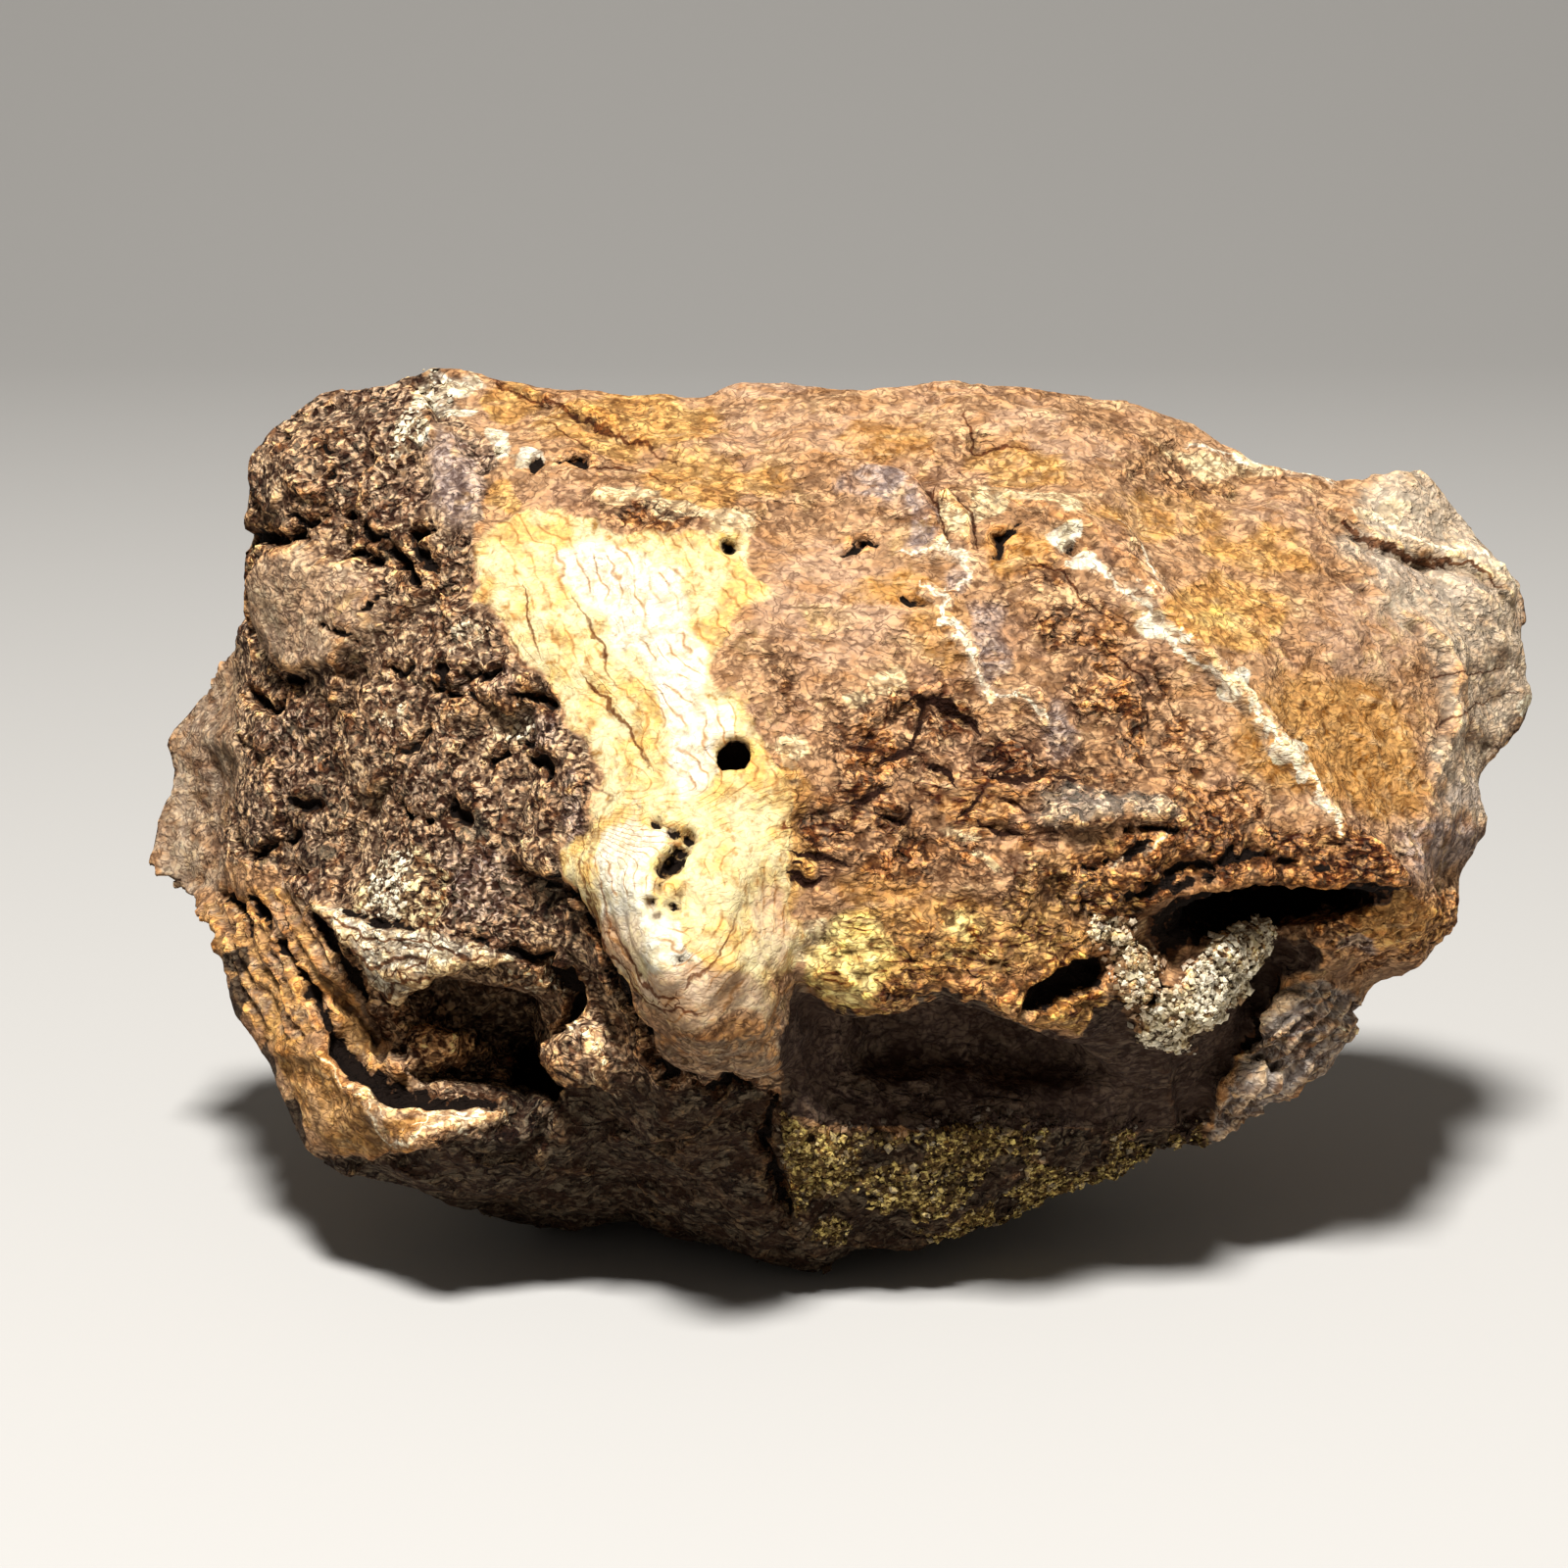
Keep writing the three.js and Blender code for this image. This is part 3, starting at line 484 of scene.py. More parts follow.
# Edges where one side stands over the other, drawn with the high side on the left:
# mm across, mm up, how far back it rises, height.
STEPS = [
    [(-30.5, -12, 1.4, 0.8), (-28.5, -11.5, 1.4, 0.9), (-27, -10.7, 1.2, 0.9), (-25, -10.5, 1, 0.9),
     (-22.5, -10.5, 0.7, 0.7)],
    [(-36, -7.2, 1, 0.5), (-34, -9, 1.4, 0.7), (-32, -11, 1.6, 0.8), (-30.5, -12, 1.4, 0.8)],
    [(-22.5, -12, 0.6, 0.5), (-20, -12, 0.6, 0.8), (-18.3, -12.9, 0.5, 0.6)],
    [(-38.5, -17.4, 1.2, 0.5), (-35.5, -17.3, 1, 0.2), (-33.5, -19.4, 1, 0.2)],
    [(-32, -24.4, 1.5, 0.5), (-29, -23.4, 1.4, 0.7), (-26, -22.2, 1.2, 0.8),
     (-23.5, -21.6, 0.8, 0.5)],
    [(13, -1.4, 2, 0.3), (16, -1.3, 2, 0.5), (19, -0.9, 2, 0.5), (22.5, -1.2, 1.6, 0.3)],
    [(20, -6.5, 1.6, 0.5), (22.5, -5.6, 1.6, 0.8), (28.5, -4.6, 1.8, 0.8), (34, -4.8, 1.6, 0.8),
     (39, -5.3, 1.2, 0.5)],
    [(11.8, -12.2, 1.4, 0.4), (14.3, -10.7, 1.6, 0.8), (18.3, -9.6, 1.4, 0.6)],
    [(-22, 29.8, 1.2, 0.3), (-18, 28, 1.6, 0.5), (-15, 26.4, 1.6, 0.5), (-10, 24.2, 1.4, 0.3)],
    [(-40.5, 9.6, 1.6, 0.5), (-37, 9.7, 1.6, 0.5), (-34.7, 10, 1.5, 0.4)],
    [(3, 6.3, 1.6, 0.4), (6, 7.4, 1.8, 0.6), (9.5, 5.6, 1.6, 0.4)],
    [(-1, 0.2, 1.4, 0.3), (2, 0.3, 1.6, 0.5), (4.5, -0.7, 1.4, 0.4)],
    [(9, 1.3, 1.4, 0.3), (12, 1.2, 1.6, 0.5), (15, 1.7, 1.4, 0.4)],
    [(12.5, 21, 2, 0.5), (18, 18, 2.4, 0.7), (22, 13, 2.4, 0.7), (27.5, 7.5, 2.4, 0.7),
     (32.5, 1, 2, 0.5)],
    [(36.5, 21, 1.6, 0.6), (38.6, 19, 1.6, 0.9), (42, 18.3, 1.6, 0.9), (46.5, 17.9, 1.4, 0.8),
     (49, 16, 1.2, 0.5)],
    [(38, 15.5, 1.8, 0.5), (41.5, 13.5, 2, 0.8), (44, 10.5, 2, 0.8), (44, 6.5, 2, 0.7),
     (42, 2.5, 1.6, 0.4)],
    [(7.4, 18.2, 1.2, 0.4), (7, 20, 1.6, 0.7), (5, 23.7, 1.6, 0.7), (-0.5, 24.5, 1.6, 0.4)],
    [(34.5, -20.6, 1.4, 0.3), (31, -18.8, 1.4, 0.5), (29.5, -17.8, 1.2, 0.5)],
]

# Pale veinlets, and pale lines of painted highlight along lit edges, that stand up a little: mm
# across, mm up, half width, whiteness.
PALE_LINES = [
    [(4.5, 17.5, 0.3, 0.7), (6.5, 17.5, 0.35, 1), (7.5, 18, 0.4, 1), (8.5, 17.1, 0.4, 1),
     (9, 16, 0.4, 0.9), (8, 15, 0.3, 0.7)],
    [(6, 15, 0.4, 0.9), (7, 14.1, 0.4, 1), (7.1, 12.6, 0.4, 1), (8, 11.6, 0.4, 1),
     (9, 10.5, 0.45, 1), (9, 9.5, 0.4, 0.9), (9.6, 8.5, 0.35, 0.8), (10.5, 7.5, 0.4, 1),
     (12, 7.6, 0.4, 1), (13, 7.5, 0.4, 0.9), (13.6, 6, 0.4, 0.8)],
    [(-22.5, -11.3, 0.3, 1), (-21.5, -11.1, 0.35, 1), (-20, -11.6, 0.35, 1),
     (-18.6, -12.5, 0.3, 1)],
    [(-22.4, -12, 0.25, 0.9), (-21.4, -12.3, 0.25, 0.9), (-20.5, -12.5, 0.2, 0.7)],
    [(-32, -20.8, 0.2, 0.9), (-31.6, -22, 0.2, 0.9), (-31, -22.6, 0.25, 1), (-29, -22.7, 0.25, 1),
     (-28, -22.1, 0.25, 1), (-26, -22, 0.25, 1), (-23.6, -21.6, 0.25, 1)],
    [(-36, -17.4, 0.2, 0.5), (-34, -19.2, 0.2, 0.6), (-32, -20.2, 0.2, 0.8),
     (-28.5, -21.2, 0.25, 1), (-23.4, -21.4, 0.25, 1)],
    [(-17, -14.4, 0.4, 0.9), (-16.3, -15.5, 0.4, 1), (-15.5, -17.5, 0.35, 0.9),
     (-15.3, -19, 0.3, 0.7)],
    [(17, 17, 0.4, 0.8), (18.5, 16, 0.4, 0.7), (20.5, 14.4, 0.4, 0.7), (21.5, 12.7, 0.55, 1),
     (23, 11.4, 0.5, 0.9), (25.5, 9.6, 0.55, 1), (27, 8, 0.6, 1), (28.5, 6.5, 0.5, 0.8),
     (30, 4.6, 0.55, 1), (31.5, 2.6, 0.5, 0.9), (32.5, 1, 0.45, 0.8), (33.5, -0.5, 0.45, 0.8),
     (34, -1.5, 0.35, 0.6)],
    [(19.5, 19.5, 0.3, 0.5), (21, 17.5, 0.3, 0.6), (21.6, 15, 0.3, 0.5)],
    [(18.5, -3.6, 0.25, 0.6), (20.5, -2.6, 0.3, 0.7), (22, -1.6, 0.25, 0.6)],
    [(29.4, -17.4, 0.3, 0.6), (30, -16, 0.3, 0.6), (30.6, -14.5, 0.3, 0.6),
     (31.5, -13.2, 0.3, 0.5)],
    [(35.6, -15.4, 0.3, 0.8), (38.4, -16.4, 0.3, 0.9), (38, -17, 0.25, 0.7),
     (36.5, -16.6, 0.25, 0.6)],
    [(24, -17.6, 0.25, 0.6), (25.6, -16, 0.25, 0.6)],
    [(37.5, 21.5, 0.25, 0.5), (39, 21, 0.3, 0.8), (42, 19.6, 0.3, 0.8), (43.5, 18.7, 0.3, 0.7),
     (46.5, 19, 0.3, 0.8), (49, 17.6, 0.3, 0.8), (50.5, 16.6, 0.25, 0.6)],
    [(26, 26.2, 0.4, 0.7), (29, 25.6, 0.45, 0.9), (32.5, 24.6, 0.45, 0.9), (36, 24, 0.35, 0.7)],
]

# Dark slits under the scales, cut in a little and painted dark as their shadow: mm across, mm up,
# half width, strength.
SLITS = [
    [(5, 7.1, 0.2, 1), (6, 7.3, 0.25, 1), (7, 7.1, 0.3, 1), (8.4, 6.2, 0.3, 1), (9.2, 5.5, 0.2, 1)],
    [(5.6, 7, 0.2, 1), (5.5, 5.6, 0.15, 1), (4.9, 4.5, 0.15, 0.8)],
    [(3, 3.5, 0.2, 1), (4, 4, 0.3, 1), (5, 3.9, 0.15, 0.8)],
    [(6, 3, 0.15, 0.7), (6.7, 2.6, 0.25, 1), (7.5, 1.9, 0.15, 1)],
    [(9.5, 3.5, 0.2, 1), (10.2, 3.6, 0.2, 1)], [(10.5, 2.5, 0.15, 0.8), (11.5, 3, 0.15, 0.8)],
    [(10.4, 2, 0.15, 1), (12, 1.5, 0.3, 1), (13, 2, 0.25, 1), (13.7, 2.6, 0.2, 1)],
    [(14.5, 2, 0.15, 0.8), (15.6, 1.9, 0.2, 1)],
    [(0.8, 0.5, 0.2, 1), (1.8, 0.5, 0.3, 1), (3, 1.5, 0.15, 0.7)],
    [(3, -0.6, 0.15, 0.8), (4, -0.8, 0.3, 1), (4.6, 0, 0.15, 0.8)],
    [(8, -0.5, 0.15, 0.8), (9, 0.6, 0.2, 1)],
    [(9.4, -1, 0.15, 1), (10.5, -1.5, 0.25, 1), (11.6, -1.6, 0.2, 1)],
    [(11, 0.5, 0.15, 0.7), (12.6, 0, 0.15, 0.7)],
    [(-2.7, -3, 0.2, 1), (-1.5, -3.1, 0.3, 1), (0.2, -3.6, 0.15, 0.7)],
    [(-3, -4.4, 0.3, 1), (-2.2, -5, 0.3, 1), (-1.3, -4.6, 0.15, 0.8)],
]

# Thin brown lines in the skin: mm across, mm up, half width, strength.
BROWN_LINES = [
    [(-0.5, 24.5, 0.15, 0.8), (2.5, 24.6, 0.2, 1), (5, 23.7, 0.25, 1.3), (6.6, 22.2, 0.25, 1.3),
     (7, 20, 0.2, 1.2), (7.4, 18.2, 0.2, 1)],
    [(7.7, 22.3, 0.15, 0.8), (9.1, 20.6, 0.2, 1.2), (9.6, 18.2, 0.2, 1)],
    [(-25, 31, 0.15, 0.8), (-22, 29.4, 0.2, 1), (-20.5, 29.3, 0.25, 1.2), (-17.5, 27.5, 0.2, 1.1),
     (-14, 26, 0.2, 0.9), (-11.5, 24.6, 0.15, 0.7)],
    [(-20.7, 27.5, 0.15, 0.8), (-19, 26.6, 0.2, 1), (-17.3, 25.3, 0.15, 0.7)],
    [(-19.5, 23.5, 0.15, 0.8), (-15, 24.3, 0.2, 1), (-11, 22.3, 0.15, 0.8)],
    [(9, 28, 0.15, 0.8), (9.5, 26.5, 0.2, 1.1), (9.6, 25.4, 0.2, 1.1), (11.5, 25.4, 0.2, 1),
     (14, 25.5, 0.15, 0.8)],
    [(1.5, 4.5, 0.15, 0.9), (2.5, 5.5, 0.2, 1.1), (3.2, 6.7, 0.15, 0.9)],
    [(17.5, 11.5, 0.15, 0.9), (19.5, 9.8, 0.2, 1.1), (21.5, 8, 0.15, 0.9)],
    [(13, 16.5, 0.15, 0.9), (15, 16.3, 0.2, 1.1), (17, 14, 0.15, 1), (19, 12.5, 0.1, 0.8)],
    [(36.5, 20.8, 0.15, 1), (38.6, 19, 0.25, 1.3), (42, 18.3, 0.25, 1.3), (46.5, 17.9, 0.2, 1.2),
     (48.5, 16.4, 0.15, 0.8)],
    [(42, 9.8, 0.15, 0.8), (45, 9.6, 0.15, 1), (49, 10.4, 0.1, 0.8)],
    [(43, 6, 0.15, 0.8), (46, 7.4, 0.15, 0.9), (50, 8.6, 0.1, 0.8)],
    [(-35.5, -7.8, 0.15, 1), (-32, -8.9, 0.2, 1.3), (-28, -9.3, 0.2, 1.3),
     (-24.5, -9.9, 0.15, 1.2)],
    [(-33.6, -9.4, 0.15, 1), (-31.5, -10.3, 0.2, 1.3), (-28, -10.2, 0.15, 1)],
    [(-31.5, -11.5, 0.1, 0.9), (-30, -11.2, 0.2, 1.2), (-27.5, -10.6, 0.1, 0.9)],
    [(-21.6, 15, 0.15, 0.8), (-21.4, 13.8, 0.2, 0.9), (-20.9, 12.3, 0.2, 0.9),
     (-20.4, 10.5, 0.15, 0.6)],
    [(-18, 14.5, 0.15, 0.6), (-17, 12.5, 0.18, 0.8), (-16, 10.5, 0.2, 0.9),
     (-15.4, 8.8, 0.15, 0.6)],
    [(-17, 8.7, 0.2, 1), (-16, 7.5, 0.25, 1), (-15, 6, 0.25, 1), (-13.5, 4, 0.2, 0.9),
     (-12.9, 3, 0.15, 0.6)],
    [(-23, 12.5, 0.15, 0.6), (-22, 11, 0.2, 0.8), (-21, 9, 0.15, 0.6)],
    [(-17, 1.5, 0.15, 0.5), (-15, 1, 0.2, 0.6), (-16, -0.5, 0.18, 0.5), (-16.4, -3, 0.15, 0.5),
     (-16, -5.5, 0.18, 0.6), (-15.4, -8, 0.2, 0.7), (-14, -10.4, 0.22, 0.9),
     (-12.5, -11.7, 0.22, 1), (-11, -12.2, 0.22, 1)],
    [(-10, -11.2, 0.2, 0.8), (-8.4, -10, 0.22, 0.9), (-7.4, -8.5, 0.2, 0.8),
     (-6.5, -6.5, 0.15, 0.5)],
    [(-17.4, -1.5, 0.18, 0.7), (-17, -5, 0.2, 0.8), (-16.4, -8, 0.22, 0.9), (-15, -10.5, 0.25, 1),
     (-13.5, -12.5, 0.25, 1), (-11.5, -13.2, 0.28, 1), (-9.5, -13.2, 0.25, 0.8)],
]

# Small round pits: mm across, mm up, radius, depth.
PITS = [
    (-7, 3.6, 0.85, 2.6), (-7.5, 18, 0.45, 1.8), (-12.1, -0.9, 0.35, 1), (-11.1, -1.4, 0.35, 1),
    (-10, -1.6, 0.5, 1.4), (-10.5, -2.6, 0.5, 1.6), (-11.1, -3.4, 0.65, 2), (-11.6, -4, 0.5, 1.6),
    (-12, -5, 0.3, 0.8), (-12.5, -6, 0.35, 0.9), (-12, -6.8, 0.35, 0.9), (-11, -6.2, 0.35, 0.9),
    (-10.6, -5.5, 0.25, 0.7), (16, 17.9, 0.4, 1.2), (-8, 2.5, 0.3, 0.7),
    (-7.5, -18, 0.5, 1.2), (-10.5, -9.8, 0.3, 0.6), (-9.9, -9.8, 0.3, 0.5),
]
SWIRL_MIDDLE = (-11, -5)  # the clay is folded round this spot


def patch(outline, ragged=1.2, soft=0.6):
    """1 inside an outline on the face, 0 outside it, with a ragged border."""
    rough = drift if ragged > 0.6 else small_drift
    u = across_mm + ragged * rough[0]
    v = up_mm + ragged * rough[1]
    inside = np.zeros(count, dtype=bool)
    nearest = np.full(count, 1e9)
    for (u0, v0), (u1, v1) in zip(outline, outline[1:] + outline[:1]):
        du, dv = u1 - u0, v1 - v0
        share = np.clip(((u - u0) * du + (v - v0) * dv) / (du * du + dv * dv), 0, 1)
        nearest = np.minimum(nearest, np.hypot(u - u0 - share * du, v - v0 - share * dv))
        if dv:
            inside ^= ((v0 > v) != (v1 > v)) & (u < u0 + du * (v - v0) / dv)
    return ease(np.where(inside, nearest, -nearest), -soft, soft) * in_front


def spots(kind):
    """The share of one mineral in the smaller stains."""
    total = np.zeros(count)
    for u, v, reach_across, reach_up, strength in SPOTS[kind]:
        away = np.hypot((across_mm + 0.9 * drift[0] - u) / reach_across,
                        (up_mm + 0.9 * drift[1] - v) / reach_up)
        total = np.maximum(total, strength * ease(1.15 - away, 0, 0.5))
    return total * in_front


vein = patch(CREAM_VEIN, 0.8, 0.9)
white = np.maximum(patch(WHITE_CORE, 1.5, 1.5), patch(WHITE_KNOB, 1.5, 1.5)) * vein
groove = patch(DARK_GROOVE, 0.3, 0.4)
recess = np.maximum(np.maximum(patch(RECESS, 0.4, 0.5), patch(SLOT, 0.2, 0.3)), groove)
pocket = np.maximum(patch(POCKET, 0.4, 0.5), patch(UNDER_LEAF, 0.4, 0.4))
belly = patch(BELLY, 0.8, 0.8)
keel = patch(KEEL, 0.8, 1.0)
leaf = patch(PALE_LEAF, 0.3, 0.35)
shelf = patch(GREY_SHELF, 0.8, 0.8)
column = patch(GREENISH_COLUMN, 0.4, 0.5)
pale_lump = patch(PALE_LUMP, 0.4, 0.5)
slab = patch(RIBBED_SLAB, 0.4, 0.4)
ledge = patch(SMOOTH_LEDGE, 0.2, 0.4)
dark = np.maximum(patch(DARK_FACE, 1.5, 1.2), 0.9 * patch(LOWER_LEFT, 1, 1))
dark *= (1 - vein) * (1 - slab) * (1 - ledge)
lip = patch(CRUMBLY_LIP, 1.0, 1.2)
band = patch(BROWN_BAND, 1.0, 1.2)
scaly = patch(SCALY, 1.5, 2.5)
chunk = patch(GREY_CHUNK, 0.4, 0.5)
rim = patch(GREY_RIM, 1.6, 1.8)
dome = patch(VIOLET_DOME, 0.5, 0.8)
plate = patch(OLIVE_PLATE, 0.5, 0.6)
nose = patch(NOSE, 0.8, 1)
lilac = np.maximum(patch(LILAC, 0.8, 0.8), patch(GREY_WHITE, 1, 0.8))
boulder = patch(BOULDER, 0.2, 0.3)
arch = patch(GREY_ARCH, 0.6, 0.6)
lower_ochre = patch(OCHRE_CHUNK, 0.3, 0.4)

# The sides and back: the same minerals in broad natural patches.
behind = 1 - in_front
small_mix = 0.35 * waves(plain + 40, 5, 3)
back_dark = ease(waves(plain, 26, 3) + small_mix, -0.25, 0.4) * behind
back_dark = np.maximum(back_dark, ease(-plain[:, 0], 30, 40) * behind)
vein_course = plain[:, 0] + 9 + 7 * waves(plain, 22, 2) + 4 * waves(plain + 70, 7, 2)
back_vein = ease(1 - np.abs(vein_course) / (2.6 + 2 * waves(plain + 60, 6)), 0, 0.5) * behind
back_vein *= ease(plain[:, 2], 20, 34) * ease(waves(plain + 80, 5, 2), -0.4, 0.1)
back_grey = ease(waves(plain + 90, 17, 2) + small_mix, 0.15, 0.6) * behind
back_ochre = ease(waves(plain + 120, 11, 2) + small_mix, 0.05, 0.55) * behind
back_rust = ease(waves(plain + 150, 13, 3) + small_mix, 0.0, 0.5) * behind
back_belly = ease(-plain[:, 2] + 6 * waves(plain, 12, 2), -14, -9) * behind
vein = np.maximum(vein, 0.85 * back_vein)
dark = np.maximum(dark, back_dark * (1 - back_vein))
belly = np.maximum(belly, back_belly)
rim = np.maximum(rim, back_grey)

# How crumbly the skin is: the dark ore most, the clay of the vein and smooth limonite least.
sandy_places = ease(waves(plain + 50, 9, 2), -0.3, 0.5)
lug = patch(LEFT_LUG, 1, 1)
rust_ledge = patch(RUST_LEDGE, 0.8, 0.8)
rugged = dark + belly + 0.2 * keel + lip + band + shelf + pale_lump + column + 0.7 * scaly
rugged += 0.25 * rim + spots("brown") + 0.5 * spots("ochre") + 0.4 * chunk + arch - 0.5 * lug
rugged += rust_ledge - 0.5 * slab + 0.35 * ledge - 0.3 * spots("white")
rugged = 0.25 + 0.2 * sandy_places + 0.6 * np.clip(rugged, 0, 1)
rugged *= (1 - 0.75 * vein) * (1 - 0.55 * spots("mauve")) * (1 - 0.4 * spots("orange"))
rugged *= 1 - 0.45 * np.clip(spots("ochre") - dark, 0, 1)
rugged *= (1 - 0.3 * ledge) * (1 - 0.5 * dome) * (1 - 0.4 * leaf) * (1 - 0.55 * plate)


def broken(places, size):
    """Broken bits about `size` mm across: closeness to an edge, tilt of the face, and middle."""
    scaled = places / size + 7.3
    cells = np.floor(scaled).astype(np.int64)
    nearest = np.full(len(places), 9.0)
    second = np.full(len(places), 9.0)
    tilt = np.zeros(len(places))
    for step in np.ndindex(3, 3, 3):
        cell = cells + np.array(step) - 1
        number = scramble(cell)
        away = scaled - cell - 0.5 - 0.42 * DIRECTIONS[number % 256]
        distance = np.linalg.norm(away, axis=1)
        closer = distance < nearest
        second = np.where(closer, nearest, np.minimum(second, distance))
        lean = np.sum(DIRECTIONS[(number >> 8) % 256] * away, axis=1)
        tilt = np.where(closer, lean, tilt)
        nearest = np.where(closer, distance, nearest)
    return ease(second - nearest, 0.0, 0.2), tilt, nearest


# Relief, in mm outwards: swells, broken facets, crumbs and grain, each where it belongs.
LARGE_BREAK = 6.5  # mm across the broken faces
MIDDLE_BREAK = 2.6
SMALL_BREAK = 1.3
TILE_HEIGHT = 1.6  # mm up from one scale to the next
SLAB_RIB = 1.15  # mm from rib to rib
CHUNK_RIB = 1.1
LEAF_SPLIT = 0.9
CLAY_FOLD = 1.3
warped = plain + 0.6 * np.stack([waves(plain + shift, 2.2) for shift in (0, 30, 60)], axis=1)
right_face = in_front * (1 - dark) * (1 - vein)
relief = 0.5 * waves(plain, 9, 2) + 0.35 * waves(plain, 4.2, 2) * rugged
edge, tilt, _ = broken(warped, LARGE_BREAK)
relief += (1.1 * tilt - 0.2 * (1 - edge)) * rugged * (0.15 + 0.85 * np.maximum(dark, behind))
edge, tilt, _ = broken(warped + 11, MIDDLE_BREAK)
relief += (0.45 * tilt - 0.1 * (1 - edge)) * rugged * (1 - 0.4 * dark)
relief += 0.35 * tilt * chunk
edge, tilt, near = broken(warped + 23, SMALL_BREAK)
finely_broken = np.clip(0.6 * dark + 1.5 * lip + chunk + 3 * rust_ledge, 0, 2.5)
relief += (0.15 * tilt - 0.05 * (1 - edge)) * finely_broken
lumpy_places = np.clip(pale_lump + column + 0.6 * belly + 0.3 * lip + rust_ledge, 0, 1)
relief += 0.5 * (0.5 - near) * lumpy_places * (1 - leaf)
relief += 0.5 * (0.5 - near) * np.maximum(pale_lump, column)
broken_edges = np.maximum(patch(SLOT, 0.2, 2), patch(CAVE, 0.2, 1.6))
relief += 0.6 * waves(plain, 1.2, 2) * broken_edges
wrinkle = 1 - 3 * np.abs(waves(warped, 1.5, 2))
relief += 0.17 * wrinkle * rugged * (1 - 0.5 * dark)
relief += 0.1 * waves(plain, 0.95) * (0.3 + 0.7 * rugged)

# The right of the broad face is grained: long low ridges that run down to the right.
grain_u = 0.8 * across_mm - 0.6 * up_mm
grain_v = 0.6 * across_mm + 0.8 * up_mm
grain = np.stack([0.34 * grain_u, grain_v, out_mm], axis=1)
relief += (0.4 * waves(grain, 3.4, 2) + 0.16 * waves(grain + 9, 1.3)) * right_face * (1 - 0.6 * lip)

# Thin scales overlap like tiles down part of the broad face, each with a shadow under it.
tile = up_mm / TILE_HEIGHT + 0.9 * waves(np.stack([0.4 * across_mm, up_mm, out_mm], axis=1), 2.2, 2)
tile_drop = tile - np.floor(tile)
tiled = scaly * ease(waves(plain + 3, 4.5), -0.35, 0.25) * (1 - vein)
tiled = np.maximum(tiled, 0.75 * np.maximum(lip, band) * ease(waves(plain + 9, 3.5), -0.2, 0.3))
relief += 0.6 * tiled * (0.5 - tile_drop)
tile_shadow = 0.4 * tiled * ease(tile_drop, 0.78, 0.95)

# Straight ribs run down the lower left slab; the chunk at lower right is ribbed the other way.
rib_place = (0.8 * across_mm + 0.6 * up_mm) / SLAB_RIB + 0.5 * waves(plain, 3, 2)
rib = np.abs(2 * (rib_place - np.floor(rib_place)) - 1) - 0.5
chunk_rib = (0.7 * across_mm - 0.7 * up_mm) / CHUNK_RIB + 0.4 * waves(plain, 3, 2)
chunk_rib = np.abs(2 * (chunk_rib - np.floor(chunk_rib)) - 1) - 0.5
relief += 0.75 * rib * slab + 0.9 * chunk_rib * chunk
leaf_place = (up_mm + 0.28 * across_mm) / LEAF_SPLIT + 0.5 * waves(plain + 8, 4, 2)
split = np.abs(2 * (leaf_place - np.floor(leaf_place)) - 1) - 0.5
relief += 0.5 * split * leaf + 0.9 * patch(POCKET, 0.4, 1.2)

# The clay of the vein is folded: rings round the knob, and streaks that flow down into them.
ring_u = (across_mm - SWIRL_MIDDLE[0]) * 1.25
ring_v = up_mm - SWIRL_MIDDLE[1]
ring = np.hypot(ring_u, ring_v)
flow = 0.86 * across_mm + 0.5 * up_mm
round_knob = ease(-ring_v, -7, -1)
fold_place = round_knob * ring + (1 - round_knob) * flow + 1.2 * waves(plain, 7, 2)
fold = np.sin(2 * np.pi * fold_place / CLAY_FOLD)
relief += 0.09 * fold * vein * ease(waves(plain + 5, 5), -0.4, 0.3)
relief += 0.3 * waves(plain, 3.2, 2) * vein
relief += 0.5 * waves(plain + 17, 2.4, 2) * behind

# Skin that stands square to the broad face keeps half of the relief: its edges are cleaner.
relief *= 1 - 0.5 * np.exp(-((facing @ OUT_OF_FACE / 0.3) ** 2))

# Whole parts that stand up or lie back.
relief += 0.9 * plate + 0.6 * dome + 0.8 * boulder + 0.3 * arch + 0.5 * leaf + 0.8 * lower_ochre
relief += 0.6 * pale_lump + 0.5 * column + 0.5 * lilac
relief += 0.35 * patch(FACE_FACET, 0.8, 0.6)


def along_line(line, ragged=0.0):
    """How far each point is from a line on the face, its width and depth there, and the side:
    above 0 on the left of the line's way."""
    u = across_mm + ragged * small_drift[0]
    v = up_mm + ragged * small_drift[1]
    best = np.full(count, 1e9)
    width, depth, side = np.zeros((3, count))
    for (u0, v0, w0, d0), (u1, v1, w1, d1) in zip(line, line[1:]):
        du, dv = u1 - u0, v1 - v0
        share = np.clip(((u - u0) * du + (v - v0) * dv) / (du * du + dv * dv), 0, 1)
        distance = np.hypot(u - u0 - share * du, v - v0 - share * dv)
        closer = distance < best
        best = np.where(closer, distance, best)
        width = np.where(closer, w0 + share * (w1 - w0), width)
        depth = np.where(closer, d0 + share * (d1 - d0), depth)
        side = np.where(closer, du * (v - v0) - dv * (u - u0), side)
    return best, width, depth, side


for line in STEPS:
    distance, reach, height, side = along_line(line, 0.25)
    signed = np.where(side > 0, distance, -distance)
    back = np.exp(-((distance / reach) ** 2)) * in_front
    relief += height * back * (1.4 * ease(signed, -0.3, 0.25) - 0.4)


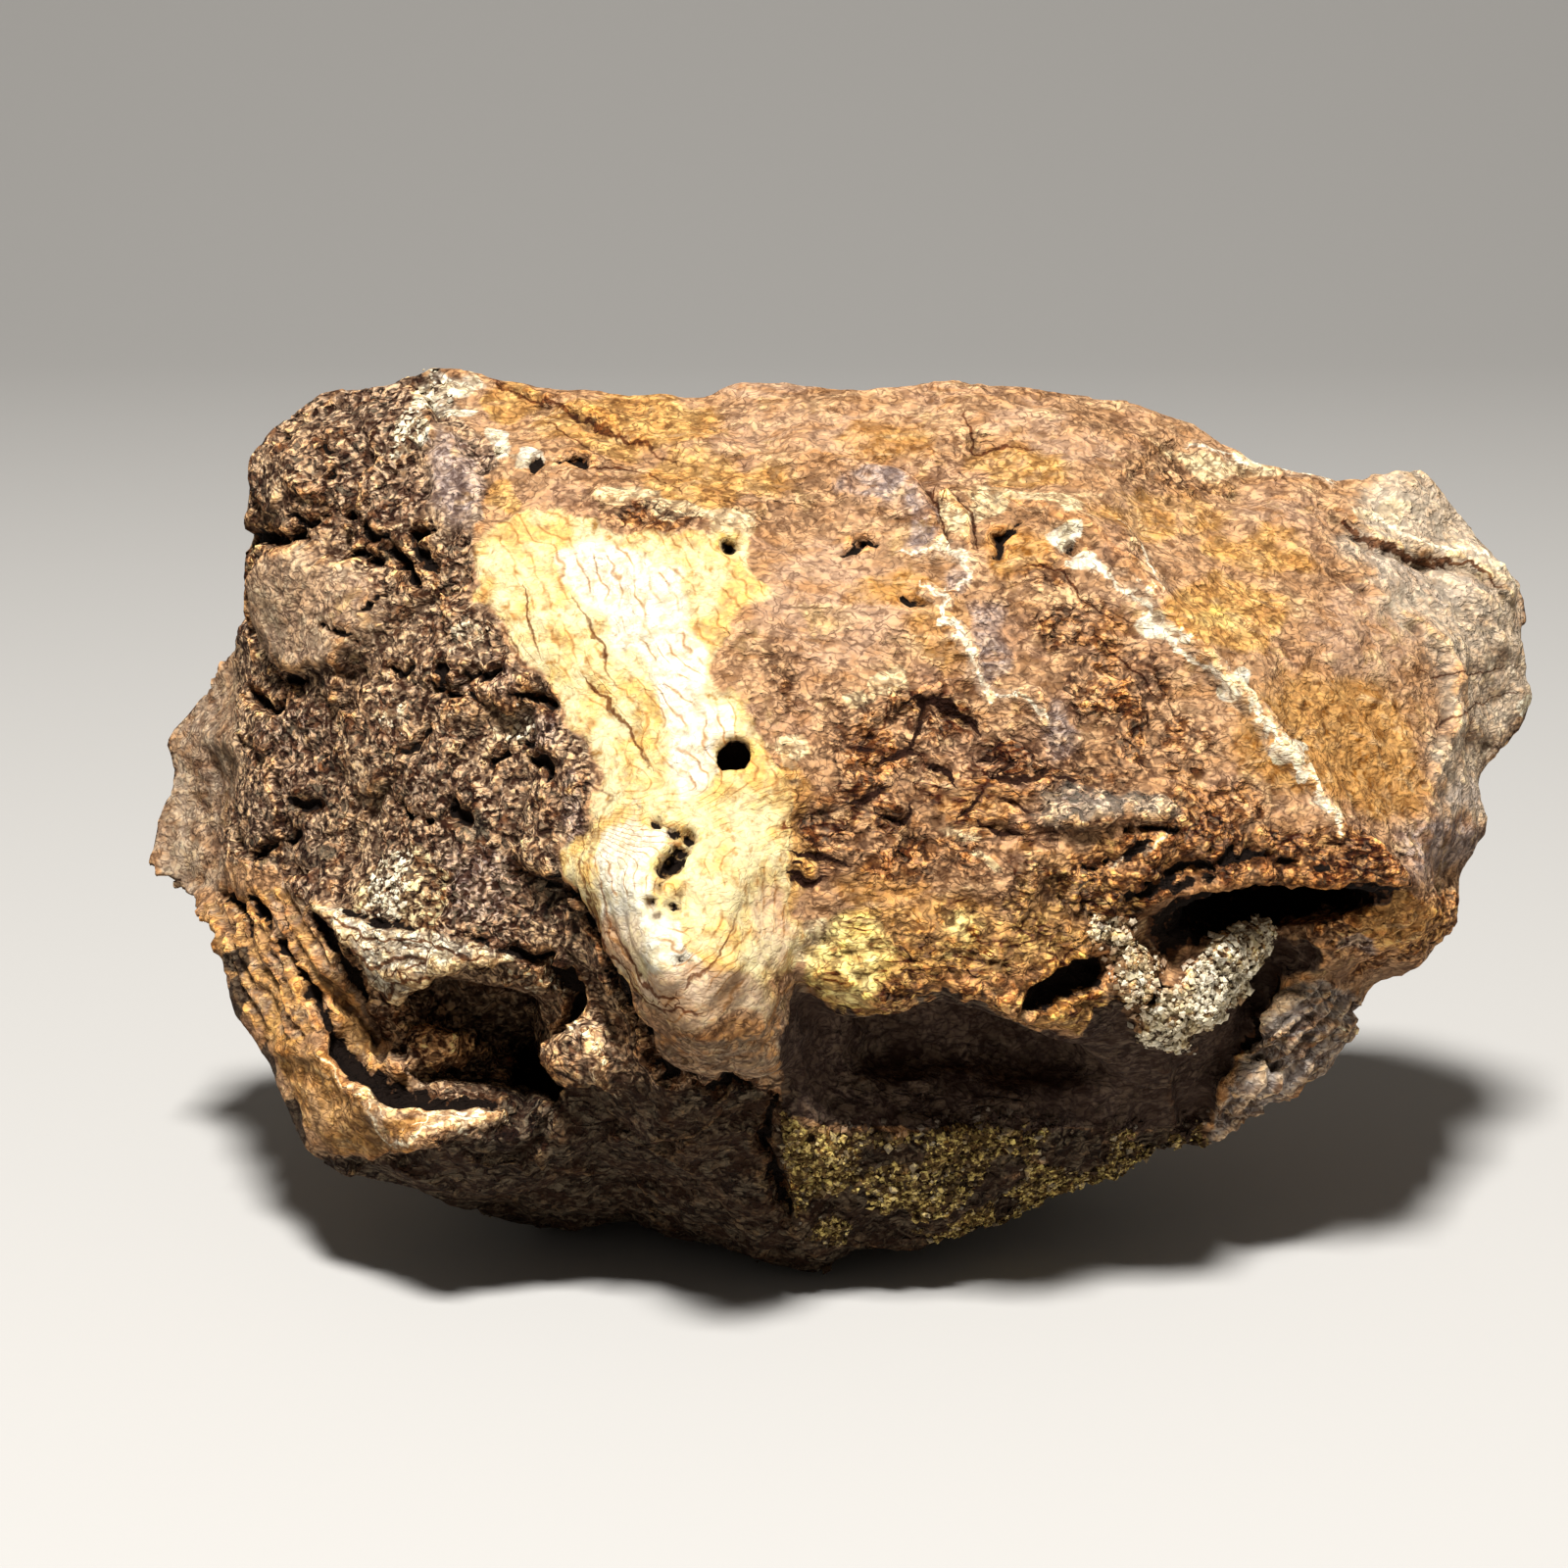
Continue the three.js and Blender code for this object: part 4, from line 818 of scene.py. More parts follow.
def fine_lines(lines):
    """For thin lines: how far over each point is, in line widths, below 0 on one side and above
    0 on the other, and how strong the line is there. The middle of a line is finer than the
    points are spaced, and the material finds it where the first value passes 0."""
    nearest, over, strong = np.full(count, 9.0), np.full(count, 9.0), np.zeros(count)
    for line in lines:
        distance, width, strength, side = along_line(line, 0.25)
        closer = distance < nearest
        nearest = np.where(closer, distance, nearest)
        over = np.where(closer, np.sign(side) * distance / width, over)
        strong = np.where(closer, strength * ease(0.8 - distance, 0, 0.35), strong)
    return np.clip(over, -9, 9), strong * in_front


pale_over, pale_line = fine_lines(PALE_LINES)
pale_line *= 1 + 0.4 * waves(plain + 14, 1.8)
relief += 0.3 * pale_line * np.exp(-((pale_over / 2.2) ** 2))

# How deep each point is cut in, and how much painted shade it gets in cracks, pits and hollows.
cut = np.zeros(count)
gap = np.zeros(count)
for line in CRACKS:
    distance, width, depth, _ = along_line(line, 0.45)
    width = width * (1 + 0.5 * small_drift[0])
    gap = np.maximum(gap, 1 - distance / (1.1 * width + 0.12))
    cut = np.maximum(cut, ease(0.8 * width - distance, -0.2, 0.2) * depth)
brown_over, brown_line = fine_lines(BROWN_LINES)
slit_over, slit = fine_lines(SLITS)
cut = np.maximum(cut, 0.7 * slit * np.exp(-((slit_over / 1.4) ** 2)))
cut = np.maximum(cut, 0.2 * brown_line * np.exp(-((brown_over / 1.6) ** 2)))
for u, v, radius, depth in PITS:
    distance = np.hypot(across_mm - u, up_mm - v) + 0.2 * waves(plain, 1.4)
    gap = np.maximum(gap, min(1, 0.3 + 0.35 * depth) * (1 - distance / (1.9 * radius + 0.1)))
    cut = np.maximum(cut, depth * ease(radius - distance, -0.3, 0.3))

# Hollows: outline, how ragged, depth in mm, how much painted shade inside. The slot is already in
# the solid.
HOLES = [(CRESCENT, 0.15, 1.8, 0.9), (LEFT_HOLE, 0.15, 2.5, 0.9), (CAVE, 0.15, 2, 0.9),
         (SLOT, 0.5, 0.2, 0.7)]
for outline, ragged, depth, share in HOLES:
    hole = patch(outline, ragged, 0.35)
    gap = np.maximum(gap, share * hole)
    cut = np.maximum(cut, depth * hole)
cut = np.maximum(cut, 1.2 * groove) * in_front
gap *= in_front

# The flat it rests on stays flat, and nothing leaves the solid's box.
INSIDE_BOX = 0.04  # mm
off_ground = ease(points[:, 2], 0.2, 2.5)
normals = surface_normals(blur(points, 6))
shaped = blur(points, 6)
shaped += normals * (relief * off_ground)[:, None]
inward = -(0.5 * normals + 0.5 * OUT_OF_FACE)
shaped += inward * (cut * off_ground)[:, None]
low = np.array(cad_box[0]) / MM + (INSIDE_BOX, INSIDE_BOX, 0)
high = np.array(cad_box[1]) / MM - INSIDE_BOX
shaped = np.clip(shaped, low, high)
hollow = blur(shaped, 4)
height_left = np.sum((shaped - hollow) * normals, axis=1)
mesh.vertices.foreach_set("co", (shaped * MM).ravel())

# What each point carries for the material to read: its share of each mineral, how far it is over
# each thin line, and how deep, rugged and shaded it is.
# How far each point faces down, for the painted shade under overhangs.
under = ease(-surface_normals(blur(shaped, 8))[:, 2], -0.25, 0.5)
stains = {
    "clay": vein,
    "white": np.maximum(np.maximum(white, 0.75 * leaf),
                        np.maximum(spots("white"), 0.6 * pale_lump)),
    "streak_and_lit_rim": pale_line,
    "streak_and_lit_rim_over": pale_over,
    "goethite": np.clip(dark + pocket + 0.6 * nose + 0.6 * lug + 0.45 * slab
                        + 0.2 * np.maximum(lip, rust_ledge), 0, 1),
    # Dark dirt, with painted shade on the keel, the belly and the lower left edge.
    "grime_and_shade": np.clip(keel + 0.3 * pocket + spots("grime_and_shade") + 0.8 * belly, 0, 1),
    # Dark hematite in the recess, the slot and the groove, darkened further as painted shade.
    "hematite_and_shade": recess,
    "brassy": belly * ease(waves(plain + 21, 5, 2) + 0.06 * (plain[:, 2] - 8), -0.25, 0.3),
    "ochre": np.clip(0.8 * back_ochre + 0.7 * slab + 0.6 * ledge + lower_ochre
                     + spots("ochre"), 0, 1),
    "orange": np.maximum(spots("orange"), 0.7 * lip * ease(waves(plain + 33, 4), -0.5, 0.2)),
    "rust": np.clip(0.9 * back_rust + 0.8 * band + 0.35 * lip + 0.6 * rust_ledge + 0.9 * nose
                    + 0.32 * scaly + 0.6 * spots("brown") + spots("rust"), 0, 1),
    "grey": np.clip(0.8 * rim + 0.9 * shelf + arch + chunk + 0.85 * plate + 0.9 * lug, 0, 1),
    "mauve": np.clip(spots("mauve") + 0.8 * lilac, 0, 1),
    "yellow": spots("yellow") + 0.3 * lip,
    "blush": spots("blush") * vein,
    "cream": np.clip(spots("cream") + 0.9 * pale_lump + 0.8 * column + 0.8 * boulder, 0, 1),
    "violet": np.clip(spots("violet") + 0.5 * dome + 0.7 * patch(PURPLE_CORNER, 1, 1.5)
                      + 0.5 * patch(FACE_FACET, 0.8, 0.8), 0, 1),
    "slate": 0.95 * chunk,
    "line": brown_line,
    "line_over": brown_over,
    "slit": slit,
    "slit_over": slit_over,
    # Painted shade in cracks, pits, hollows, under the scales and between the ribs of the slab.
    "crevice": np.clip(np.maximum(gap, tile_shadow) + 0.4 * slab * ease(-rib, 0.2, 0.5), 0, 1),
    # Height over the smoothed skin, for painted shade where it lies low and painted highlight where
    # it stands up.
    "relief": np.clip(height_left / 0.3, -1, 1),
    "rugged": rugged,
    "folds": fold_place,
    "scales": scaly * ease(waves(plain + 3, 4), -0.5, 0.2) + np.maximum(lip, band),
    "grain": right_face,
    # Lighter and darker patches, and painted shade where the skin faces down.
    "tone_and_underside_shade": 0.15 * arch + 0.3 * rim * in_front + 0.15 * chunk - 0.3 * lug
            - 0.6 * under * (1 - np.maximum(lip, rust_ledge)),
}


def carry(onto, values):
    """Lets the points of a mesh carry the shares of the minerals, for its material to read."""
    for name, amount in values.items():
        layer = onto.attributes.new(name, "FLOAT", "POINT")
        layer.data.foreach_set("value", amount.astype(np.float32))


carry(mesh, stains)
mesh.shade_smooth()
lump = bpy.data.objects.new("ore_lump", mesh)
bpy.context.collection.objects.link(lump)

# The back needs fewer points than the front.
rear = lump.vertex_groups.new(name="rear")
for tenths in range(11):
    members = np.flatnonzero(np.round(behind * 10) == tenths)
    rear.add(members.tolist(), 0.02 + 0.098 * tenths, "REPLACE")
thin = lump.modifiers.new("thin", "DECIMATE")
thin.ratio = MOST_TRIANGLES / (2 * len(mesh.polygons))
thin.vertex_group = "rear"
lump.data = bpy.data.meshes.new_from_object(
    lump.evaluated_get(bpy.context.evaluated_depsgraph_get()))
lump.modifiers.clear()


def linear(colour):
    """The linear colour of an sRGB hex value."""
    channels = [int(colour[i:i + 2], 16) / 255 for i in (1, 3, 5)]
    return [c / 12.92 if c <= 0.04045 else ((c + 0.055) / 1.055) ** 2.4 for c in channels] + [1]


# Limonite, goethite and clay: matt, powdery mineral crusts that scatter light, with only the
# broken sulphide in them giving a dull metallic glint.
ore = bpy.data.materials.new("weathered_pyrite_ore")
ore.use_nodes = True
tree = ore.node_tree
tree.nodes.clear()


def add(kind, *inputs, result="", **settings):
    """Adds a node to the ore and gives back one of its results, the first one unless named.
    Inputs fill its open sockets in order: a number, a hex colour or another node's result."""
    node = tree.nodes.new("ShaderNode" + kind)
    if kind == "Mix":
        node.data_type = "RGBA"
    sockets = {}
    for name, value in settings.items():
        if hasattr(node, name):
            setattr(node, name, value)
        else:
            sockets[name.replace("_", " ")] = value
    links = list(zip([socket for socket in node.inputs if socket.enabled], inputs))
    links += [(node.inputs[name], value) for name, value in sockets.items()]
    for socket, value in links:
        if isinstance(value, bpy.types.NodeSocket):
            tree.links.new(value, socket)
        else:
            socket.default_value = linear(value) if isinstance(value, str) else value
    return next((out for out in node.outputs if out.enabled and result in ("", out.name)), None)


PER_MM = 1 / MM
place = add("TexCoord", result="Object")

# Patches 9 mm wide down to grit of 0.5 mm. The real grit is finer and is drawn that coarse to
# show.
broad, blots, fold_drift, medium, wobble, fine, grit = [
    add("TexNoise", place, Scale=PER_MM / size_mm, Detail=detail, Roughness=0.6)
    for size_mm, detail in ((9, 2), (5, 3), (3, 2), (2.8, 3), (1.6, 3), (0.9, 3), (0.5, 2))]
patchy = add("MapRange", medium, 0.35, 0.65)
sandy = add("MapRange", fine, 0.35, 0.65)
dither = add("Math", add("MapRange", fine, 0.3, 0.7, -0.15, 0.15),
             add("MapRange", medium, 0.3, 0.7, -0.3, 0.3), operation="ADD")
here = {name: add("Attribute", attribute_name=name, result="Fac")
        for name in ("rugged", "goethite", "clay", "grain", "folds", "streak_and_lit_rim", "scales", "tone_and_underside_shade",
                     "relief", "crevice")}


def crumbs(size_mm, flat):
    """Packed crumbs: how near a point is to the gap between them, and a tone for each crumb."""
    shift = add("TexNoise", place, Scale=0.9 * PER_MM / size_mm, Detail=2, result="Color")
    moved = add("VectorMath", shift, [1.1 * size_mm * MM] * 3, place, operation="MULTIPLY_ADD")
    squeezed = add("VectorMath", moved, (1, 1, flat), operation="MULTIPLY")
    gap = add("TexVoronoi", squeezed, Scale=PER_MM / size_mm, result="Distance")
    return gap, add("SeparateColor", gap.node.outputs["Color"], result="Red")


def stretched(turn, scale, size_mm, detail=3.0, bend=0.3):
    """Noise drawn out one way: turned in the face by an angle, then squeezed."""
    turned = add("Mapping", place, Rotation=(0, math.radians(turn), 0), Scale=scale)
    return add("TexNoise", turned, Scale=PER_MM / size_mm, Detail=detail, Distortion=bend)


def from_line(scale, size_mm, detail, bend):
    """How far a point is from the nearest of many winding lines, 0 on them."""
    height = add("Math", stretched(0, scale, size_mm, detail, bend), 0.5, operation="SUBTRACT")
    return add("Math", height, operation="ABSOLUTE")


def paint(under, over, pattern, low, high, most=1.0, where=None, way="MIX"):
    """Lays a colour over another where a pattern goes from low to high, up to a share."""
    share = add("MapRange", pattern, low, high, 0.0, most)
    if where is not None:
        share = add("Math", share, where, operation="MULTIPLY")
    return add("Mix", share, under, over, blend_type=way)


def stain(name, soft=0.12):
    """The share of one mineral, its border broken up by fine grain."""
    amount = add("Attribute", attribute_name=name, result="Fac")
    return add("MapRange", add("Math", amount, dither, operation="ADD"), 0.5 - soft, 0.5 + soft)


large_gap, large_tone = crumbs(0.8, 1.25)
small_gap, small_tone = crumbs(0.42, 1.1)

# The minerals, each in two or more tones that lie in patches and in fine grain.
limonite = paint("#b8916c", "#ac845e", broad, 0.4, 0.6)
limonite = paint(limonite, "#be9a72", medium, 0.47, 0.62, 0.6)
limonite = paint(limonite, "#a4806a", blots, 0.54, 0.62, 0.4)
limonite = paint(limonite, "#966634", fine, 0.54, 0.68, 0.45)
goethite = add("Mix", patchy, "#bca284", "#a48870")
goethite = paint(goethite, "#cab494", fine, 0.5, 0.65)
goethite = paint(goethite, "#a88262", blots, 0.5, 0.6, 0.4)
goethite = paint(goethite, "#9c887a", broad, 0.5, 0.6, 0.4)
cream_clay = paint("#e0cd9c", "#d6ae66", medium, 0.42, 0.62)
cream_clay = paint(cream_clay, "#b08448", fine, 0.58, 0.72)
jarosite = add("Mix", patchy, "#d4a866", "#ba8644")
jarosite = paint(jarosite, "#8a5a20", fine, 0.55, 0.7, 0.5)
ferric_crust = add("Mix", patchy, "#c09256", "#b08044")
ferric_crust = paint(ferric_crust, "#98601e", fine, 0.52, 0.66)
rust = add("Mix", patchy, "#dca266", "#c2864a")
rust = paint(rust, "#8a5826", fine, 0.54, 0.68)
quartz = add("Mix", patchy, "#ccb69c", "#b29c84")
quartz = paint(quartz, "#cabb9e", fine, 0.55, 0.7)
tarnish = add("Mix", patchy, "#7a6030", "#40301a")
tarnish = paint(tarnish, "#e6cc7c", grit, 0.5, 0.58)
dark_dirt_and_shade = add("Mix", patchy, "#4a3a2c", "#30241a")
dark_dirt_and_shade = paint(dark_dirt_and_shade, "#7a6850", grit, 0.62, 0.7, 0.5)

# Each is laid over the last where the points carry its name, with a soft or a sharp border.
colour = limonite
for name, soft, mineral in (
        ("mauve", 0.35, add("Mix", patchy, "#be9a7c", "#ac8a6c")),
        ("orange", 0.3, ferric_crust),
        ("rust", 0.12, rust),
        ("ochre", 0.25, jarosite),
        ("grey", 0.2, quartz),
        ("goethite", 0.12, goethite),
        ("violet", 0.3, add("Mix", sandy, "#baa79c", "#8a776e")),
        ("slate", 0.2, add("Mix", patchy, "#bab0a8", "#8a807a")),
        ("cream", 0.12, add("Mix", sandy, "#e6d2a8", "#ccb084")),
        ("yellow", 0.35, add("Mix", patchy, "#ffeaa0", "#f4cc66"))):
    colour = add("Mix", stain(name, soft), colour, mineral)

# The grain of the right side, dark and pale, lies under the clay.
drawn_out = stretched(37, (0.25, 0.8, 1.0), 1.1, 4, 0.6)
grained_here = add("Math", here["grain"], add("MapRange", medium, 0.35, 0.55),
                   operation="MULTIPLY")
colour = paint(colour, "#96642f", drawn_out, 0.5, 0.4, 0.55, grained_here)
colour = paint(colour, "#e2c090", drawn_out, 0.56, 0.66, 0.5, grained_here)
colour = add("Mix", stain("clay"), colour, cream_clay)
colour = add("Mix", stain("white"), colour, add("Mix", sandy, "#e6e0ce", "#dccda6"))
colour = add("Mix", stain("blush", 0.35), colour, add("Mix", patchy, "#dcc0a0", "#c09a74"))

# The folds of the clay show as soft ochre lines.
fold_count = add("Math", here["folds"], 1.1, operation="DIVIDE")
fold_count = add("Math", fold_count, add("MapRange", fold_drift, 0, 1, 0, 2.5), operation="ADD")
from_fold = add("Math", fold_count, 0.5, operation="PINGPONG")
folded_here = add("Math", stain("clay"), add("MapRange", medium, 0.42, 0.56),
                  operation="MULTIPLY")
colour = paint(colour, "#a06c34", from_fold, 0.13, 0.03, 0.75, folded_here)
# Dark dirt, and painted shade on the keel, the belly and the lower left edge.
colour = add("Mix", stain("grime_and_shade"), colour, dark_dirt_and_shade)
colour = add("Mix", stain("brassy"), colour, tarnish)

# Thin lines are carried as a distance and a strength, and waver as they are drawn.
wobble = add("MapRange", wobble, 0.3, 0.7, -1.6, 1.6)


def thin_line(kind, ragged, thick):
    """The middle of a carried line, with a wavering edge."""
    over = add("Attribute", attribute_name=kind + "_over", result="Fac")
    off_middle = add("Math", wobble, ragged, over, operation="MULTIPLY_ADD")
    off_middle = add("Math", off_middle, operation="ABSOLUTE")
    middle = add("MapRange", off_middle, 0.5 * thick, 1.4 * thick, 1.0, 0.0)
    strength = add("Attribute", attribute_name=kind, result="Fac")
    return add("Math", middle, strength, operation="MULTIPLY")


# Pale streaks along the veinlets, and painted highlight along the lit edges.
drawn_down = add("MapRange", stretched(47, (0.2, 1, 1), 0.75, 2), 0.3, 0.7, -0.6, 0.3)
streaks_and_lit_rims = add("Math", here["streak_and_lit_rim"], drawn_down, operation="ADD")
colour = paint(colour, "#d0b494", streaks_and_lit_rims, 0.35, 0.85, 0.6)
colour = paint(colour, "#efe2c4", thin_line("streak_and_lit_rim", 0.8, 0.45), 0.1, 0.6)
# Dark hematite in the recess, the slot and the groove, darkened further as painted shade.
colour = add("Mix", stain("hematite_and_shade"), colour, add("Mix", patchy, "#382a24", "#52423a"))

# The skin has shrunk into a fine winding relief: its furrows are painted dark as painted shade, and
# its ridges pale as painted highlight. It is coarse and deep on the crumbly ore and faint on the
# clay.
# Real furrows are down to 0.05 mm wide. These are drawn coarser, or they would not show.
loose = add("Math", add("MapRange", medium, 0.36, 0.54, 0.5, 1.0),
            add("MapRange", here["rugged"], 0.1, 0.85, 0.3, 1.0), operation="MULTIPLY")
crumbly = add("Math", add("MapRange", here["rugged"], 0.4, 0.85),
              add("MapRange", here["goethite"], 0.2, 0.7, 0.55, 1.0), operation="MULTIPLY")
uneven = add("MapRange", fine, 0.35, 0.62, 1.7, 0.5)
winding = add("Math", from_line((0.8, 1, 1.15), 1.15, 0.6, 0.8), uneven, operation="MULTIPLY")
fine_winding = add("Math", from_line((0.8, 1, 1.15), 0.6, 0.6, 0.6), uneven,
                   operation="MULTIPLY")
furrow = add("Math", add("MapRange", winding, 0.03, 0.08, 1.0, 0.0), loose,
             operation="MULTIPLY")
finely_furrowed = add("Math", add("MapRange", loose, 0.2, 1.0, 0.5, 1.0),
                      add("MapRange", fine, 0.4, 0.5), operation="MULTIPLY")
fine_furrow = add("Math", add("MapRange", fine_winding, 0.015, 0.055, 1.0, 0.0),
                  finely_furrowed, operation="MULTIPLY")
furrow = add("Math", furrow, fine_furrow, operation="MAXIMUM")
furrow = add("Math", furrow, add("MapRange", here["clay"], 0.3, 0.8, 1.0, 0.35),
             operation="MULTIPLY")
colour = paint(colour, "#6c4222", furrow, 0, 1, 0.9, way="MULTIPLY")

# Painted shade in the pits between swollen grains, deepest on the dark ore, and painted highlight
# on the grains' tops.
swollen = add("TexNoise", place, Scale=PER_MM / 0.56, Detail=0.5, Roughness=0.5, Distortion=0.9)
pitted = add("Math", crumbly, add("MapRange", broad, 0.4, 0.55, 0.7, 1.0), operation="MULTIPLY")
colour = paint(colour, "#6e482a", swollen, 0.5, 0.42, 1.0, pitted, "MULTIPLY")
colour = paint(colour, "#2a150a", swollen, 0.44, 0.37, 0.9, pitted)
colour = paint(colour, "#ffeccc", swollen, 0.55, 0.64, 0.35, crumbly, "OVERLAY")

# Painted shade in the gaps between crumbs, and painted shadow in the slits between thin scales that
# are longer across than up; the darkest shade goes in these and in the furrows.
scale_slit_shadow = add("MapRange", from_line((0.4, 0.8, 1.3), 1.1, 1, 0.4), 0.025, 0.06, 1.0, 0.0)
scale_slit_shadow = add("Math", scale_slit_shadow, add("MapRange", medium, 0.42, 0.56), operation="MULTIPLY")
scale_slit_shadow = add("Math", scale_slit_shadow, add("MapRange", here["scales"], 0.1, 0.4),
                 operation="MULTIPLY")
crack = add("Math", add("MapRange", large_gap, 0.55, 0.7, 0.0, 0.7),
            add("MapRange", fine, 0.4, 0.34, 0.0, 0.8), operation="MAXIMUM")
crack = add("Math", add("Math", crack, loose, operation="MULTIPLY"), scale_slit_shadow,
            operation="MAXIMUM")
colour = add("Mix", crack, colour, "#744a2a", blend_type="MULTIPLY")
deep = add("Math", crack, furrow, operation="MAXIMUM")
colour = paint(colour, "#2c160a", medium, 0.54, 0.4, 0.8, deep)

# Painted highlight on the ridges between the furrows, and a tone for each crumb.
ridge_highlight = add("Math", add("MapRange", winding, 0.08, 0.15, 0.0, 0.3), loose, operation="MULTIPLY")
ridge_highlight = add("Math", ridge_highlight, add("MapRange", fine_winding, 0.08, 0.15, 0.0, 0.2),
            operation="ADD")
colour = add("Mix", ridge_highlight, colour, "#ffeccc", blend_type="OVERLAY")
colour = paint(colour, "#f2deb8", ridge_highlight, 0, 1, 0.3, loose)
crumb_tone = add("Math", large_tone, small_tone, operation="ADD")
colour = paint(colour, "#90663c", crumb_tone, 0.9, 0.3, 0.5, loose, "MULTIPLY")

# Lighter and darker patches, and painted shade on the skin that faces down.
colour = paint(colour, "#f4e8cc", here["tone_and_underside_shade"], 0, 1, 0.6)
colour = paint(colour, "#2a1a0e", here["tone_and_underside_shade"], 0, -1, 0.7)
# Painted shade where the skin lies low, painted highlight where it stands up.
colour = paint(colour, "#2a180c", here["relief"], 0, -1, 0.7)
colour = paint(colour, "#ffe8c0", here["relief"], 0.25, 1, 0.7, way="OVERLAY")
colour = paint(colour, "#7a4a22", thin_line("line", 0.7, 0.5), 0.05, 0.9, 0.9, way="MULTIPLY")
# Painted shadow along the slits under the scales.
colour = paint(colour, "#261208", thin_line("slit", 0.6, 0.8), 0.1, 0.6)
# Painted shade in cracks, pits and hollows, black where deepest.
ragged_hole = add("Math", here["crevice"], add("MapRange", fine, 0.3, 0.7, 0.2, -0.2),
                  operation="ADD")
ragged_hole = add("Math", ragged_hole, add("MapRange", large_gap, 0.1, 0.7, -0.16, 0.16),
                  operation="ADD")
colour = paint(colour, "#5a3416", here["crevice"], 0.1, 0.6, 0.5)
colour = paint(colour, "#120904", ragged_hole, 0.5, 0.62)

# The same grains, furrows and crumbs as fine relief, each on top of the last.
faceted = add("Math", large_tone, 0.7, operation="MULTIPLY")
faceted = add("Math", faceted, large_gap, operation="SUBTRACT")
finely_faceted = add("Math", small_tone, 0.7, operation="MULTIPLY")
finely_faceted = add("Math", finely_faceted, small_gap, operation="SUBTRACT")
relief_layers = (
    (0.13, loose, add("MapRange", winding, 0.0, 0.12)),
    (0.07, add("MapRange", loose, 0.2, 1.0, 0.4, 1.0), add("MapRange", fine_winding, 0.0, 0.1)),
    (0.6, grained_here, drawn_out),
    (0.2, loose, faceted),
    (0.1, loose, finely_faceted),
)
normal = add("Bump", Distance=0.3 * MM, Strength=crumbly, Height=swollen)
for depth_mm, strength, height in relief_layers:
    normal = add("Bump", Distance=depth_mm * MM, Strength=strength, Height=height,
                 Normal=normal)
glint = add("Math", stain("brassy"), add("MapRange", grit, 0.55, 0.62, 0.0, 0.5),
            operation="MULTIPLY")
skin = add("BsdfPrincipled", Base_Color=colour, Metallic=glint, IOR=1.5, Normal=normal,
           Specular_IOR_Level=0.12, Roughness=add("MapRange", glint, 0.0, 1.0, 0.9, 0.4))
add("OutputMaterial", skin)
lump.data.materials.clear()
lump.data.materials.append(ore)

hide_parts("pyrite_specimen")
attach(lump, "root")

# ---------------------------------------------------------------------------------------------
# Grains: quartz on the pale lump, the column and the white spots, and dull pyrite crystals on
# the belly, 0.3 to 1 mm across, still stuck where the ore around them has rotted away. They
# take the minerals of the place they sit on, each a shade lighter or darker.
# ---------------------------------------------------------------------------------------------
GRAIN_POINTS = np.array([(1.0, 0, 0), (-1, 0, 0), (0, 1, 0), (0, -1, 0), (0, 0, 1), (0, 0, -1)])
GRAIN_FACES = np.array([(0, 2, 4), (2, 1, 4), (1, 3, 4), (3, 0, 4),
                        (2, 0, 5), (1, 2, 5), (3, 1, 5), (0, 3, 5)])
skin_normals = surface_normals(shaped)


def grains(name, chance, number, small, large, tones):
    """Angular grains stuck to the lump, more of them where the chance is high."""
    chance = chance * off_ground * (1 - ease(stains["crevice"], 0.2, 0.45))
    hosts = dice.choice(count, number, p=chance / chance.sum())
    size = small + (large - small) * dice.random(number) ** 2.5
    turn = np.linalg.qr(dice.normal(size=(number, 3, 3)))[0]
    shape = GRAIN_POINTS * dice.uniform(0.75, 1.2, (number, 6, 1))
    shape = shape * dice.uniform(0.75, 1.15, (number, 1, 3)) @ turn
    shape *= size[:, None, None] / 2
    outward = skin_normals[hosts][:, None, :]
    shape -= 0.4 * np.sum(shape * outward, axis=2, keepdims=True) * outward
    slide = dice.uniform(-0.2, 0.2, (number, 1, 3))
    where = shape + shaped[hosts][:, None, :] + slide + outward * 0.05 * size[:, None, None]
    where = np.clip(where.reshape(-1, 3), low, high)
    faces = (GRAIN_FACES[None] + 6 * np.arange(number)[:, None, None]).reshape(-1, 3)
    flip = np.linalg.det(turn) < 0
    faces = np.where(np.repeat(flip, 8)[:, None], faces[:, ::-1], faces)
    grain_mesh = bpy.data.meshes.new(name)
    grain_mesh.from_pydata((where * MM).tolist(), [], faces.tolist())
    held = {kind: np.repeat(amount[hosts], 6) for kind, amount in stains.items()}
    held["tone_and_underside_shade"] = np.repeat(dice.uniform(*tones, number), 6)
    held["relief"] = np.full(6 * number, 0.2)
    held["rugged"] = np.full(6 * number, 0.1)
    carry(grain_mesh, held)
    grain_mesh.materials.append(ore)
    piece = bpy.data.objects.new(name, grain_mesh)
    bpy.context.collection.objects.link(piece)
    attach(piece, "root")


grains("quartz_grains", pale_lump + column + 0.2 * spots("white") * dark,
       number=2200, small=0.3, large=0.9, tones=(-0.8, 1.2))
grains("pyrite_grains", stains["brassy"] * (0.3 + in_front),
       number=5000, small=0.3, large=1.0, tones=(-1, 0.3))

